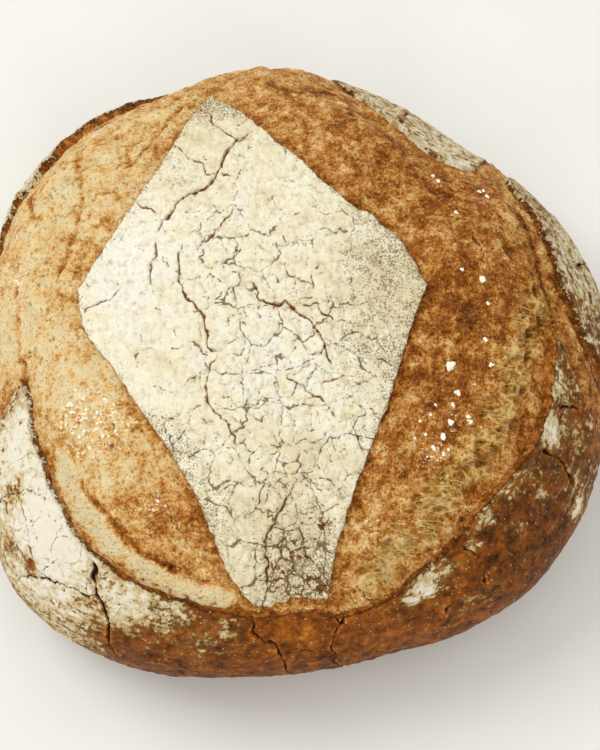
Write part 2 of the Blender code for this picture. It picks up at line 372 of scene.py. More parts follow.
def skin_sheet(half_size, cell, levels, keep):
    """A flat grid, kept where keep(places) says and halved as often as levels(places) says."""
    sheet = bmesh.new()
    count = int(round(2 * half_size / cell))
    bmesh.ops.create_grid(sheet, x_segments=count, y_segments=count, size=half_size)
    dropped = [face for face, kept in zip(sheet.faces, keep(face_centres(sheet))) if not kept]
    bmesh.ops.delete(sheet, geom=dropped, context="FACES")
    unpinch(sheet)
    level = 1
    while True:
        wanted = levels(face_centres(sheet)) >= level
        chosen = {edge for face, want in zip(sheet.faces, wanted) if want for edge in face.edges}
        if not chosen:
            return sheet
        bmesh.ops.subdivide_edges(sheet, edges=list(chosen), cuts=1, use_grid_fill=True)
        level += 1


def read_places(sheet):
    return np.array([vertex.co[:2] for vertex in sheet.verts])


def snapped(places, reach):
    """Moves the places within reach of the side crust's edge onto it, so that the edge isn't stepped."""
    _, side, _, _ = edges(places)
    near = np.abs(side) < reach
    at, step = places[near], 0.05
    rises = [edges(at + way)[1] - edges(at - way)[1] for way in step * np.eye(2)]
    slope = np.stack(rises, axis=1) / (2 * step)
    steepness = np.maximum((slope**2).sum(axis=1), 0.6)
    moved = places.copy()
    moved[near] -= (side[near] / steepness)[:, None] * slope
    return moved


def wrap(sheet, points, values):
    """Moves the sheet's vertices to their points and gives each its named values."""
    layers = {name: sheet.verts.layers.float.new(name) for name in values}
    for name, layer in layers.items():
        for vertex, value in zip(sheet.verts, values[name].tolist()):
            vertex[layer] = value
    for vertex, point in zip(sheet.verts, points.tolist()):
        vertex.co = point


def extruded(sheet, loop):
    """Extrudes open edges where they are, and hands back the new vertices and the new open edges."""
    made = bmesh.ops.extrude_edge_only(sheet, edges=loop)["geom"]
    verts = [item for item in made if isinstance(item, bmesh.types.BMVert)]
    return verts, [item for item in made if isinstance(item, bmesh.types.BMEdge) and item.is_boundary]


def draw_inside(sheet, loop, wall, apex):
    """Extrudes an open edge inwards by the wall, then to one point, so that the piece is closed."""
    target = Vector(apex)
    verts, loop = extruded(sheet, loop)
    for vertex in verts:
        vertex.co += (target - vertex.co).normalized() * wall
    verts, _ = extruded(sheet, loop)
    bmesh.ops.pointmerge(sheet, verts=verts, merge_co=target)


def finish_piece(sheet, name, material):
    """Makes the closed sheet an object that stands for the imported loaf."""
    bmesh.ops.triangulate(sheet, faces=[face for face in sheet.faces if len(face.verts) > 3])
    bmesh.ops.recalc_face_normals(sheet, faces=sheet.faces)
    open_edges = sum(not edge.is_manifold for edge in sheet.edges)
    mesh = bpy.data.meshes.new(name)
    sheet.to_mesh(mesh)
    print(name, "triangles:", len(sheet.faces), "open edges:", open_edges,
          "volume cm3:", round(sheet.calc_volume() * 1e6))
    sheet.free()
    mesh.shade_smooth()
    mesh.materials.append(material)
    piece = bpy.data.objects.new(name, mesh)
    bpy.context.scene.collection.objects.link(piece)
    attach(piece, "root")
    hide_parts("loaf")


# %% [markdown]
# ## Shader helpers
# A material here is a few layers, each with a mask: baked skin, flour on it, cracks through
# it. Masks come from values that the mesh carries and from noise in true millimetres, so the
# grain has the right size on every piece. Short calls keep each recipe readable.

# %% Node calls
def shown(red, green, blue):
    """A colour as a screen shows it, from 0 to 255, made ready for a shader."""
    parts = [part / 255 for part in (red, green, blue)]
    linear = [part / 12.92 if part < 0.04045 else ((part + 0.055) / 1.055) ** 2.4 for part in parts]
    return (*linear, 1.0)


class Recipe:
    """One material's nodes, added by short calls that hand back an output socket."""

    def __init__(self, name):
        self.material = bpy.data.materials.new(name)
        self.material.use_nodes = True
        self.tree = self.material.node_tree
        self.place = self.node("TexCoord").outputs["Object"]

    def node(self, kind, **settings):
        made = self.tree.nodes.new("ShaderNode" + kind)
        for name, value in settings.items():
            setattr(made, name, value)
        return made

    def fill(self, node, values):
        """Links or sets the node's inputs, by name or number, and leaves one given None as it is."""
        for name, value in values.items():
            if isinstance(value, bpy.types.NodeSocket):
                self.tree.links.new(value, node.inputs[name])
            elif value is not None:
                node.inputs[name].default_value = value

    def carried(self, name):
        """A value that the mesh carries."""
        return self.node("Attribute", attribute_name=name).outputs["Fac"]

    def math(self, operation, *values, clamp=False):
        node = self.node("Math", operation=operation, use_clamp=clamp)
        self.fill(node, dict(enumerate(values)))
        return node.outputs[0]

    def times(self, value, *shares):
        for share in shares:
            value = self.math("MULTIPLY", value, share)
        return value

    def summed(self, value, *parts):
        """The value plus each part times its weight."""
        for part, weight in parts:
            value = self.math("MULTIPLY_ADD", part, weight, value)
        return value

    def carried_place(self, *names, stretch=(MM, MM)):
        """A place made of values that the mesh carries, each stretched by its share."""
        node = self.node("CombineXYZ")
        shares = [self.times(self.carried(name), share) for name, share in zip(names, stretch)]
        self.fill(node, dict(enumerate(shares)))
        return node.outputs[0]

    def noise(self, size_mm, detail=2.0, roughness=0.55, place=None):
        node = self.node("TexNoise")
        self.fill(node, {"Vector": place or self.place, "Scale": 1.0 / (size_mm * MM)})
        self.fill(node, {"Detail": detail, "Roughness": roughness})
        return node.outputs["Fac"]

    def uneven(self, *grain):
        """Noise that swings about 0."""
        return self.math("SUBTRACT", self.noise(*grain), 0.5)

    def folds(self, size_mm, sharpness, detail, place=None):
        """Thin curling lines, 1 on the line, as flaked dough has."""
        level = self.math("ABSOLUTE", self.uneven(size_mm, detail, 0.6, place))
        return self.math("SUBTRACT", 1.0, self.times(level, sharpness), clamp=True)

    def cells(self, size_mm, place=None, **settings):
        """Distance to the nearest of scattered seeds, with seeds as far apart as the size."""
        node = self.node("TexVoronoi", **settings)
        self.fill(node, {"Vector": place or self.place, "Scale": 1.0 / (size_mm * MM)})
        return node.outputs["Distance"]

    def warped(self, size_mm, shift_mm, place):
        """The place pushed about by noise, so that cells on it aren't regular."""
        node = self.node("TexNoise")
        self.fill(node, {"Vector": place, "Scale": 1.0 / (size_mm * MM), "Detail": 3.0})
        moved = node.outputs["Color"]
        centre, shift = (0.5,) * 3, (2 * shift_mm * MM,) * 3
        for operation, by in (("SUBTRACT", centre), ("MULTIPLY", shift), ("ADD", place)):
            change = self.node("VectorMath", operation=operation)
            self.fill(change, {0: moved, 1: by})
            moved = change.outputs[0]
        return moved

    def hairlines(self, size_mm, half_width_mm, place):
        """Thin lines on a flat place where cells of this size meet, 1 on the line."""
        gap = self.cells(size_mm, place, feature="DISTANCE_TO_EDGE", voronoi_dimensions="2D")
        return self.window(self.times(gap, size_mm), 0.4 * half_width_mm, half_width_mm, 1.0, 0.0)

    def window(self, value, low, high, bottom=0.0, top=1.0):
        """A smooth step of value between low and high."""
        node = self.node("MapRange", interpolation_type="SMOOTHSTEP")
        self.fill(node, dict(enumerate((value, low, high, bottom, top))))
        return node.outputs["Result"]

    def above(self, value, limit, width=0.05):
        """A crisp step where value passes a limit that isn't the same everywhere."""
        return self.window(value, limit, self.math("ADD", limit, width))

    def ramp(self, value, *stops):
        """Colours by value; each stop is a value and a colour as a screen shows it."""
        node = self.node("ValToRGB")
        self.fill(node, {0: value})
        elements = node.color_ramp.elements
        while len(elements) < len(stops):
            elements.new(0.5)
        for element, (at, *colour) in zip(elements, stops):
            element.position = at
            element.color = shown(*colour)
        return node.outputs["Color"]

    def mix(self, share, first, second):
        node = self.node("Mix", data_type="RGBA")
        self.fill(node, {0: share, 6: first, 7: second})
        return node.outputs[2]

    def bump(self, height, rise_mm, normal=None):
        """Turns a height from 0 to 1 into a bump that is rise_mm high."""
        node = self.node("Bump")
        self.fill(node, {"Height": height, "Distance": rise_mm * MM, "Normal": normal})
        return node.outputs["Normal"]

    def finish(self, colour, roughness, specular=None, normal=None):
        self.fill(self.tree.nodes["Principled BSDF"], {
            "Base Color": colour, "Roughness": roughness, "Specular IOR Level": specular, "Normal": normal,
        })
        return self.material


# %% [markdown]
# ## The floured lid
# Before baking, the whole top was dusted with flour; the cuts left one kite of that skin. It
# dried, lifted a little and cracked like mud: long cracks that show brown crust, and small
# ones between. A height map on a plane would do from above, but the edge has to be a real
# rim. So a grid is blended between the kite's four sides, which puts its last row of
# vertices exactly on the rim, and the rim is then extruded down.

# %% What is drawn on the lid
# Half width, depth and route of each crack
LID_CRACKS = (
    (0.75, 1.5, ((-15, 81), (-19, 78), (-23, 69), (-25, 61), (-30, 55), (-39, 47), (-44, 39), (-48, 32))),
    (0.5, 1.1, ((-48, 32), (-47, 26), (-50, 20), (-51, 9))),
    (0.42, 0.9, ((-38, 101), (-33, 95), (-28, 87), (-18, 78), (-15, 81), (-10, 84))),
    (0.4, 0.9, ((-45, 78), (-37, 69), (-32, 66), (-28, 60), (-25, 61))),
    (0.5, 1.0, ((-25, 61), (-22, 60), (-18, 60))),
    (0.38, 0.8, ((-58, 49), (-52, 45), (-46, 41))),
    (0.38, 0.8, ((-20, 46), (-19, 42), (-24, 34), (-29, 28), (-32, 23))),
    (0.36, 0.7, ((-36, 29), (-38, 25), (-39, 19), (-40, 14))),
    (0.36, 0.7, ((-17, 29), (-16, 25), (-20, 19), (-23, 16))),
    (0.6, 1.2, ((-12, 9), (-8, 7), (-6, 2), (0, 0), (5, 0), (8, -3), (13, -6), (16, -13), (21, -26))),
    (0.38, 0.8, ((8, 2), (12, 0), (16, 0), (18, -3), (23, -9))),
    (0.55, 1.1, ((-38, 25), (-39, 16), (-38, 8), (-31, -1), (-27, -10), (-27, -15), (-23, -21))),
    (0.5, 1.0, ((-23, -21), (-26, -27), (-27, -33), (-26, -40), (-20, -46), (-16, -58))),
    (0.42, 0.9, ((3, -27), (5, -30), (10, -34), (13, -37), (20, -40))),
    (0.34, 0.7, ((-18, 10), (-17, 6), (-15, -1))),
    (0.5, 1.1, ((22, 46), (27, 42), (30, 37), (34, 38), (37, 41))),
    (0.34, 0.7, ((30, 37), (29, 32), (29, 27), (28, 21))),
    (0.42, 0.9, ((36, -22), (40, -22), (48, -25))),
    (0.38, 0.8, ((16, -33), (23, -30), (31, -28))),
    (0.4, 0.8, ((29, -47), (30, -53), (31, -57), (38, -61))),
    (0.38, 0.8, ((-42, -55), (-35, -47), (-36, -42))),
    (0.42, 0.9, ((-84, 2), (-79, 6), (-69, 8), (-66, 10), (-62, 14))),
    (0.65, 1.5, ((7, -71), (1, -80), (-3, -86), (-8, -94), (-9, -110), (-13, -125))),
    (0.4, 0.8, ((7, -71), (12, -73), (18, -75), (25, -80))),
    (0.4, 0.8, ((-10, -70), (-4, -74), (1, -80))),
)
# Dabs of x, y, radius and value: how thin the flour lies, where it is worn off, and where
# the network of small cracks is open
LID_THIN = (
    (-30, 100, 13, 0.95), (-50, 70, 9, 0.55), (-56, 45, 8, 0.4), (42, 22, 24, 0.84), (38, -15, 18, 0.78),
    (38, -45, 14, 0.6), (-38, -55, 14, 0.7), (-30, -80, 12, 0.7), (5, -105, 22, 0.9), (-40, 60, 7, 0.6),
    (-20, 65, 9, 0.45), (15, 20, 12, 0.4), (-20, -100, 8, 0.25),
)
LID_WORN = (
    (-20, 2, 5, 0.45), (4, -117, 6, 0.75), (12, -112, 6, 0.6), (-3, -108, 6, 0.6), (6, -100, 7, 0.5),
    (-32, 103, 5, 0.35), (-55, 8, 3, 0.5), (8, -66, 5, 0.3), (-35, -62, 5, 0.3), (16, -90, 5, 0.45),
    (2, -104, 14, 0.42), (14, -117, 4, 0.7), (-6, -112, 5, 0.5), (-28, -72, 6, 0.25),
)
LID_NETWORK = (
    (-60, 15, 30, 0.0), (-25, 70, 28, 0.25), (-20, 25, 22, 0.75), (10, 10, 28, 0.9), (0, -30, 35, 1.0),
    (0, -65, 25, 1.0), (30, -30, 22, 0.7), (35, 20, 22, 0.25), (0, -100, 22, 0.9), (-30, -45, 12, 0.5),
)
# How pale the flour is, above or below the rest
LID_PALE = (
    (-58, 20, 26, 0.24), (0, -25, 22, 0.14), (44, 8, 24, -0.2), (0, -66, 20, -0.08), (-34, 86, 20, -0.16),
    (0, -92, 22, -0.25), (-2, -116, 14, -0.32),
)
# Where the lid lies flush with the dough beside it
LID_FLUSH = ((2, -122, 16, 1.0), (-72, 30, 24, 0.6), (-48, 70, 16, 0.4))
LID_RISE, LID_DROP = 1.8, 1.3
LID_WALL = 2.8
LID_APEX = (-0.01, -0.012, 0.06)
LID_CELLS = (284, 328)


# %% The lid's mesh
def along_side(route, share):
    """Points at these shares of a route's length."""
    steps = np.concatenate([[0.0], np.cumsum(np.hypot(*np.diff(route, axis=0).T))])
    return np.stack([np.interp(share * steps[-1], steps, column) for column in route.T], axis=1)


def blended_grid(sheet):
    """Spreads a unit grid between the kite's four sides."""
    unit = read_places(sheet) + 0.5
    across, down = unit[:, :1], unit[:, 1:]
    left_top, top_right, right_bottom, bottom_left = LID_CORNER_ROUTES
    first = along_side(bottom_left[::-1], down[:, 0])
    second = along_side(top_right, down[:, 0])
    third = along_side(left_top, across[:, 0])
    fourth = along_side(right_bottom[::-1], across[:, 0])
    corners = (
        (1 - across) * (1 - down) * left_top[0] + across * (1 - down) * top_right[0]
        + (1 - across) * down * right_bottom[-1] + across * down * right_bottom[0]
    )
    return (1 - across) * first + across * second + (1 - down) * third + down * fourth - corners


def lid_relief(places):
    """The lid's own mounds, plates and cracks in millimetres, and what its finish needs to know of them."""
    depth, in_crack, _ = cracked(places, LID_CRACKS, 40)
    network = dabbed(places, 0.25, LID_NETWORK)
    moved = shaken(shaken(places, 2.6, 8.0, 61), 0.8, 2.4, 63)
    plates, plate_gap, _ = cells(moved, 14.0, 70)
    moved = shaken(shaken(places, 2.2, 5.5, 65), 0.6, 1.9, 67)
    _, puff_gap, puff = cells(moved, 6.5, 73)
    mounds = 0.65 * ripple(places, 11.0, 90) + 0.65 * ripple(places, 5.0, 91)
    mounds += network * (0.35 * (1.0 - plates / 9.0) - 0.25 * np.exp(-((plate_gap / 0.6) ** 2)))
    mounds += (0.35 + 0.65 * network) * (0.3 + 0.7 * puff) * ease(puff_gap / 1.7)
    powder = 0.4 * ripple(places, 2.5, 92) + 0.22 * ripple(places, 1.3, 93)
    values = {
        "crack": in_crack,
        # low: how low the powder lies; the finish paints these places darker, as painted shade
        "low": np.clip(0.5 - powder, 0.0, 1.0),
        "network": network,
        "plate_gap": np.minimum(plate_gap, 3.0),
        "puff_gap": np.minimum(puff_gap, 3.0),
    }
    return mounds + powder - depth, values


def build_lid(material):
    sheet = bmesh.new()
    bmesh.ops.create_grid(sheet, x_segments=LID_CELLS[0], y_segments=LID_CELLS[1], size=0.5)
    places = blended_grid(sheet)
    lid, side, _, _ = edges(places)
    lid = np.maximum(lid, 0.0)
    rim = np.exp(-lid / 0.5)
    nibbled = places + rim[:, None] * (shaken(shaken(places, 0.55, 4.0, 95), 0.3, 1.6, 96) - places)
    relief, values = lid_relief(places)
    curl = 0.7 * ripple(places, 16.0, 97) * np.exp(-lid / 5.0)
    rise = LID_RISE - LID_DROP * dabbed(places, 0.0, LID_FLUSH)
    rounding = 0.45 * np.exp(-lid / 0.45)
    height = rise + lumps(plain_form(places), side) + relief + curl - rounding
    points = plain_form(nibbled) + outward(nibbled) * (height * MM)[:, None]
    values.update({
        "thin": dabbed(places, 0.3, LID_THIN) + 0.4 * np.exp(-lid / 2.2),
        "worn": dabbed(places, 0.0, LID_WORN),
        "rim": np.exp(-lid / 0.6),
        "pale": dabbed(places, 0.0, LID_PALE),
    })
    wrap(sheet, points, values)
    rim_edges = [edge for edge in sheet.edges if edge.is_boundary]
    draw_inside(sheet, rim_edges, LID_WALL * MM, LID_APEX)
    finish_piece(sheet, "floured_lid", material)


# %% [markdown]
# ## The lid's finish
# Flour is nearly white, dry and without any shine. Where it is thin the dark crust peeps
# through as pepper-fine specks, more of them near the edges; the cracks show crust, dark at
# the bottom and rusty at the sides. The powder's hollows are painted a little darker, as
# painted shade. A few masks over one cream do this.

# %% Floured skin
def floured_skin():
    recipe = Recipe("floured_skin")
    mottle = recipe.math("ADD", recipe.noise(8.0, 5.0, 0.65), recipe.carried("pale"))
    cream = recipe.ramp(mottle, (0.3, 240, 226, 188), (0.5, 255, 246, 217), (0.75, 255, 253, 238))
    powder = recipe.summed(recipe.noise(1.1, 5.0, 0.75), (recipe.noise(3.2, 3.0, 0.6), 0.9))
    # Painted shade: the cream is painted darker in the powder's hollows and where the powder lies low.
    painted_hollow_shade = recipe.summed(1.5, (recipe.carried("low"), 0.8), (powder, -1.6))
    cream = recipe.mix(recipe.window(painted_hollow_shade, 0.35, 0.95, 0.0, 0.4), cream, shown(176, 154, 106))
    thin = recipe.summed(recipe.carried("thin"), (recipe.uneven(5.0, 3.0), 1.3))
    limit = recipe.window(thin, 0.0, 1.1, 0.72, 0.46)
    specks = recipe.above(recipe.noise(0.8, 2.0, 0.6), limit, 0.08)
    flecks = recipe.above(recipe.noise(1.6, 3.0, 0.75), recipe.math("ADD", limit, 0.05))
    specks = recipe.math("MAXIMUM", specks, flecks)
    skin = recipe.mix(recipe.times(specks, 0.68), cream, shown(124, 92, 38))
    thinned = recipe.carried("worn")
    worn = recipe.window(recipe.summed(thinned, (recipe.uneven(2.6, 4.0, 0.7), 3.4)), 0.66, 0.74)
    bare = recipe.ramp(recipe.noise(2.0, 3.0), (0.35, 100, 54, 20), (0.65, 164, 100, 42))
    skin = recipe.mix(worn, skin, bare)
    jagged = recipe.uneven(1.4, 3.0, 0.75)
    opened = recipe.summed(recipe.noise(4.5, 3.0, 0.6), (recipe.carried("network"), 0.3), (thinned, 0.3))
    hairs = []
    for name, half_width, start in (("plate_gap", 0.28, 0.6), ("puff_gap", 0.22, 0.72)):
        gap = recipe.summed(recipe.carried(name), (jagged, 0.9), (thinned, -0.5))
        line = recipe.window(gap, 0.45 * half_width, half_width, 1.0, 0.0)
        hairs.append(recipe.times(line, recipe.window(opened, start, start + 0.08)))
    hairs = recipe.math("MAXIMUM", *hairs)
    skin = recipe.mix(recipe.times(hairs, 0.8), skin, shown(102, 66, 16))
    crack = recipe.summed(recipe.carried("crack"), (jagged, 1.0))
    skin = recipe.mix(recipe.window(crack, 0.5, 0.68, 0.0, 0.65), skin, shown(186, 130, 66))
    skin = recipe.mix(recipe.window(crack, 0.7, 0.84, 0.0, 0.9), skin, shown(108, 58, 20))
    rim = recipe.window(recipe.carried("rim"), 0.35, 0.9, 0.0, 0.6)
    skin = recipe.mix(rim, skin, shown(186, 138, 76))
    sunk = recipe.summed(recipe.times(specks, -1.0), (hairs, -3.0))
    return recipe.finish(skin, 0.95, 0.15, recipe.bump(sunk, 0.14, recipe.bump(powder, 1.2)))


build_lid(floured_skin())

# %% [markdown]
# ## The burst dough
# When the cuts opened, dough that had no skin yet swelled out and baked. It is rough, full
# of small pores, and has a pale honeycomb where it tore last, under the lifted edge. It is a
# sheet that runs on under the lid and under the side crust, fine where it shows and coarse
# where it doesn't.

# %% What is drawn on the burst dough
BURST_SWELL = 2.6
BURST_REACH = 11.0
# Distance from the crown at which lengths round it are taken, for grain that runs round it
RING_RADIUS = 110.0
VALLEY_DEPTH = 1.5
VALLEY_FROM_EAR = 7.0
VALLEY_HALF_WIDTH = 5.0
FULL_VALLEY_LIFT = 3.0
# Place, half width and height of the torn flaps on the back
FLAPS = (((-15, 128), 4.5, 1.6), ((2, 128), 5.0, 1.4))
# Routes of the open honeycomb below the right ear and of the pale strip below the left one
HONEYCOMB = (
    (105, 15), (99, 4), (97, -8), (92, -20), (87, -33), (82, -46), (74, -59), (66, -67), (59, -81),
    (48, -98), (37, -112),
)
PALE_STRIP = ((-85, -53), (-79, -64), (-72, -76), (-64, -88), (-54, -99), (-41, -109), (-28, -116))
# Half width, depth and route of the creases between lobes of dough
CREASES = (
    (0.9, 0.8, ((-83, 76), (-80, 64), (-79, 54), (-82, 42), (-88, 30), (-94, 24))),
    (1.2, 1.4, ((-119, 24), (-119, 1), (-114, -19))),
    (0.8, 0.7, ((-100, 52), (-106, 60), (-104, 72), (-92, 80))),
    (0.6, 0.5, ((-45, 102), (-50, 88), (-56, 75), (-62, 66))),
    (1.0, 0.8, ((-8, 112), (4, 108), (18, 112))),
    (1.1, 0.7, ((-77, -62), (-69, -71), (-64, -79), (-58, -88), (-51, -95), (-43, -103), (-36, -108))),
    (0.8, 0.6, ((98, 62), (103, 40), (106, 22), (112, 8))),
    (0.7, 0.6, ((112, 30), (122, 12), (134, -6), (146, -18))),
)
# Half width, depth and route of each crack
BURST_CRACKS = (
    (0.3, 0.7, ((-66, -38), (-62, -44), (-63, -52), (-60, -60))),
    (0.35, 0.8, ((-84, 3), (-79, 8), (-75, 6))),
    (0.3, 0.7, ((-44, -76), (-40, -86), (-37, -94))),
    (0.4, 1.0, ((19, -114), (24, -117), (29, -116), (33, -121), (40, -124))),
    (0.35, 0.8, ((44, 84), (52, 78), (62, 76))),
    (0.35, 0.8, ((30, 104), (36, 96), (46, 95))),
    (0.3, 0.7, ((72, 40), (78, 32), (80, 22))),
    (0.3, 0.7, ((-96, 64), (-92, 56), (-94, 46))),
)
# Centre, half length, half width, bearing of its length, and depth
HOLES = (
    ((91, 34), 4.6, 2.0, 118, 2.6), ((88, 41), 2.2, 1.2, 150, 1.6), ((102, 18), 3.6, 1.2, 100, 2.0),
    ((105, 7), 3.4, 1.6, 105, 2.4), ((100, -1), 2.6, 1.4, 60, 1.8), ((99, -12), 3.2, 1.8, 40, 1.8),
    ((96, -27), 2.4, 1.4, 60, 1.6), ((92, -40), 2.6, 1.6, 30, 1.6), ((79, -58), 3.4, 2.0, 40, 1.8),
    ((-63, -52), 1.3, 1.1, 0, 0.9), ((47, 60), 2.0, 0.9, 140, 1.2), ((-45, -98), 1.4, 1.0, 20, 0.9),
    ((-106, 93), 6.0, 1.6, 50, 1.6), ((70, 62), 1.8, 0.8, 130, 1.0), ((66, 12), 1.0, 0.8, 90, 0.9),
    ((26, 98), 2.6, 1.1, 150, 1.4), ((72, -83), 2.6, 1.4, 60, 1.3), ((42, -96), 2.4, 0.9, 20, 1.0),
    ((-62, 92), 1.4, 0.8, 20, 0.8), ((56, 70), 1.3, 0.6, 120, 0.9), ((38, 78), 1.5, 0.6, 140, 0.9),
    ((42, 88), 2.2, 0.7, 140, 1.1), ((50, 80), 1.8, 0.6, 130, 1.0), ((33, 97), 1.6, 0.6, 150, 0.9),
    ((60, 68), 2.0, 0.7, 125, 1.1), ((68, 58), 1.5, 0.6, 110, 0.9), ((58, 50), 1.2, 0.6, 120, 0.8),
    ((76, 48), 1.6, 0.7, 115, 0.9), ((20, 88), 1.6, 0.6, 145, 0.9), ((30, 72), 1.3, 0.5, 140, 0.8),
    ((-58, -100.5), 1.2, 0.7, 140, 1.2), ((-53, -104), 1.4, 0.7, 142, 1.2),
    ((-48, -107.5), 1.0, 0.6, 145, 1.0), ((-43, -110.5), 1.5, 0.7, 150, 1.2),
    ((-38, -113.5), 1.1, 0.6, 150, 1.0), ((-32, -116.5), 1.3, 0.6, 155, 1.0),
    ((-72, -45), 0.9, 0.6, 60, 0.8), ((-98, 30), 1.2, 0.7, 120, 0.7), ((-86, 10), 1.0, 0.7, 0, 0.7),
)
# Centre, half length, half width, bearing of its length, and rise
BUBBLES = (
    ((-77, 92), 9.0, 6.0, 35, 0.8), ((-88, 60), 12.0, 7.0, 100, 0.9), ((-70, 48), 7.0, 5.0, 60, 0.6),
    ((91, 55), 9.0, 4.5, 118, 0.8), ((-58, 76), 6.0, 4.0, 50, 0.5), ((-66, -20), 8.0, 5.0, 120, 0.5),
    ((52, -70), 6.0, 4.5, 60, 0.4),
)
BURST_CELL = 5.0
BURST_HALF_CELLS = 40
BURST_LEVEL = 3
BURST_FINE_TO = 150.0
# How far the dough runs on under the side crust, how far it sinks there and under the lid, and
# the wall and the inner point of the closed piece
BURST_RUN_ON = 7.0
SUNK_UNDER_LID, SUNK_UNDER_SIDE = 2.6, 2.4
BURST_WALL = 3.0
BURST_APEX = (0.0, 0.0, 0.03)


def oval(places, centre, long_half, wide_half, bearing):
    """0 at an oval's centre and 1 on its rim."""
    turn = math.radians(bearing)
    axes = np.array([[math.cos(turn), -math.sin(turn)], [math.sin(turn), math.cos(turn)]])
    across = (places - centre) @ axes
    return np.hypot(across[:, 0] / long_half, across[:, 1] / wide_half)


def burst_height(lid, side, lift):
    """The burst dough's broad swell and the valley beside a lifted edge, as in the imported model."""
    open_from_lid = 1.0 - np.exp(np.minimum(lid, 0.0) / BURST_REACH)
    open_from_side = 1.0 - np.exp(np.minimum(side, 0.0) / BURST_REACH)
    off_valley = (-side - VALLEY_FROM_EAR) / VALLEY_HALF_WIDTH
    valley = VALLEY_DEPTH * np.exp(-off_valley**2) * ease(lift / FULL_VALLEY_LIFT)
    return BURST_SWELL * open_from_lid * open_from_side - valley * (lid < 0)


def beside(route, places, side, half_width, seed):
    """How much a place belongs to a strip along a route, and the places along the strip and across it."""
    gap, along, _ = nearest_on(rounded_route(route), places, 25.0)
    gap = np.minimum(gap, 99.0)
    width = half_width * (1.0 + 0.35 * ripple(places, 12.0, seed))
    return ease(1.4 - gap / width), np.stack([along + 0.45 * side, side], axis=1)


def strands(strip_places, spacing, length, seed):
    """Threads of dough stretched across a strip, from 0 between them to 1 on them."""
    wavy = ripple(shaken(strip_places, 1.2, 7.0, seed) / [spacing, length], 1.0, seed + 2)
    return np.clip(1.0 - 3.2 * np.abs(wavy), 0.0, 1.0)


def pebbled(places, moved):
    """The torn, pebbly grain of burst dough in millimetres."""
    torn = 1.0 - 2.2 * np.abs(ripple(moved, 3.1, 180))
    crumbs = 1.0 - 2.2 * np.abs(ripple(moved, 1.7, 183))
    return 0.26 * torn + 0.2 * crumbs + 0.16 * ripple(places, 1.3, 181) + 0.3 * ripple(places, 4.6, 182)


def burst_relief(places, side):
    """Fine relief of the burst dough in millimetres, and the values that its finish needs."""
    comb, comb_at = beside(HONEYCOMB, places, side, 7.5, 110)
    comb *= ease(0.95 + 1.3 * ripple(places, 8.0, 112))
    strip, strip_at = beside(PALE_STRIP, places, side, 4.4, 120)
    moved = shaken(places, 1.4, 5.0, 130)
    pulled = shaken(comb_at, 1.6, 6.0, 140) / [1.25, 0.85]
    seed_gap, wall, mark = cells(pulled, 5.2, 142)
    pit = ease(1.2 - seed_gap / (0.6 + 1.9 * mark)) * (mark > 0.45)
    small_gap, _, small_mark = cells(pulled, 2.3, 150)
    small_pit = ease(1.2 - small_gap / (0.45 + 0.6 * small_mark)) * (small_mark > 0.35)
    thread = strands(comb_at, 2.4, 8.0, 155)
    honeycomb = 0.35 * thread * (1.0 - 0.6 * pit) + 0.2 * np.exp(-((wall / 0.5) ** 2))
    honeycomb = comb * (honeycomb - 1.1 * pit - 0.4 * small_pit)
    dot_gap, _, dot_mark = cells(shaken(places, 1.0, 4.0, 160), 3.0, 170)
    dots = ease(1.3 - dot_gap / (0.3 + 0.4 * dot_mark)) * (dot_mark > 0.78) * (1 - comb) * (1 - strip)
    grain = pebbled(places, moved)
    round_crown = RING_RADIUS * np.arctan2(places[:, 1], places[:, 0])
    stretched = shaken(np.stack([side / 4.5, round_crown / 20.0], axis=1), 0.3, 2.0, 184)
    ridges = 0.45 * ripple(stretched, 1.0, 186)
    rough = (grain + ridges) * (1 - 0.6 * strip) * (1 - 0.3 * comb)
    fibre = strands(strip_at, 1.9, 7.0, 195)
    height = honeycomb + rough - 0.4 * dots + strip * (0.3 + 0.25 * fibre)
    values = {
        # pore: the pores and holes, which the finish paints dark as painted shade inside them
        "pore": np.maximum(0.6 * comb * np.maximum(pit, 0.7 * small_pit), dots),
        "comb": comb,
        "strip": strip,
        # low: how low the grain lies, which the finish paints darker as painted shade
        "low": np.clip(0.5 - 0.75 * (grain + 0.8 * ridges), 0.0, 1.0),
        "pull_x": np.where(comb > strip, comb_at[:, 0], strip_at[:, 0]),
        "pull_y": side,
    }
    for centre, long_half, wide_half, bearing, deep in HOLES:
        cup = ease(1.35 - oval(moved, centre, long_half, wide_half, bearing))
        height -= deep * cup
        values["pore"] = np.maximum(values["pore"], cup)
    # crease: creases and the folds round bubbles, which the finish paints darker as painted shade
    crease = np.zeros(len(places))
    wandering = shaken(shaken(places, 1.6, 8.0, 190), 0.9, 3.0, 192)
    for half_width, deep, route in CREASES:
        gap, _, _ = nearest_on(rounded_route(route), wandering, 8.0)
        height -= deep * np.exp(-((gap / half_width) ** 2))
        crease = np.maximum(crease, np.exp(-((gap / (1.5 * half_width)) ** 2)))
    smooth = np.zeros(len(places))
    for centre, long_half, wide_half, bearing, rise in BUBBLES:
        share = oval(moved, centre, long_half, wide_half, bearing)
        dome = ease(1.0 - share**2)
        fold = np.exp(-(((share - 1.05) / 0.1) ** 2)) * ease(0.5 + 1.4 * ripple(places, 7.0, 197))
        height += rise * dome - 0.35 * fold
        smooth = np.maximum(smooth, dome)
        crease = np.maximum(crease, 0.7 * fold)
    for place, radius, tall in FLAPS:
        height += tall * np.exp(-(np.hypot(*(moved - place).T) / radius) ** 4)
    depth, in_crack, by_lip = cracked(places, BURST_CRACKS, 330)
    # by_crack: the raised lips beside cracks, which the finish paints lighter as painted light
    values.update(crease=crease, smooth=smooth, crack=in_crack, by_crack=by_lip)
    return height - depth, values


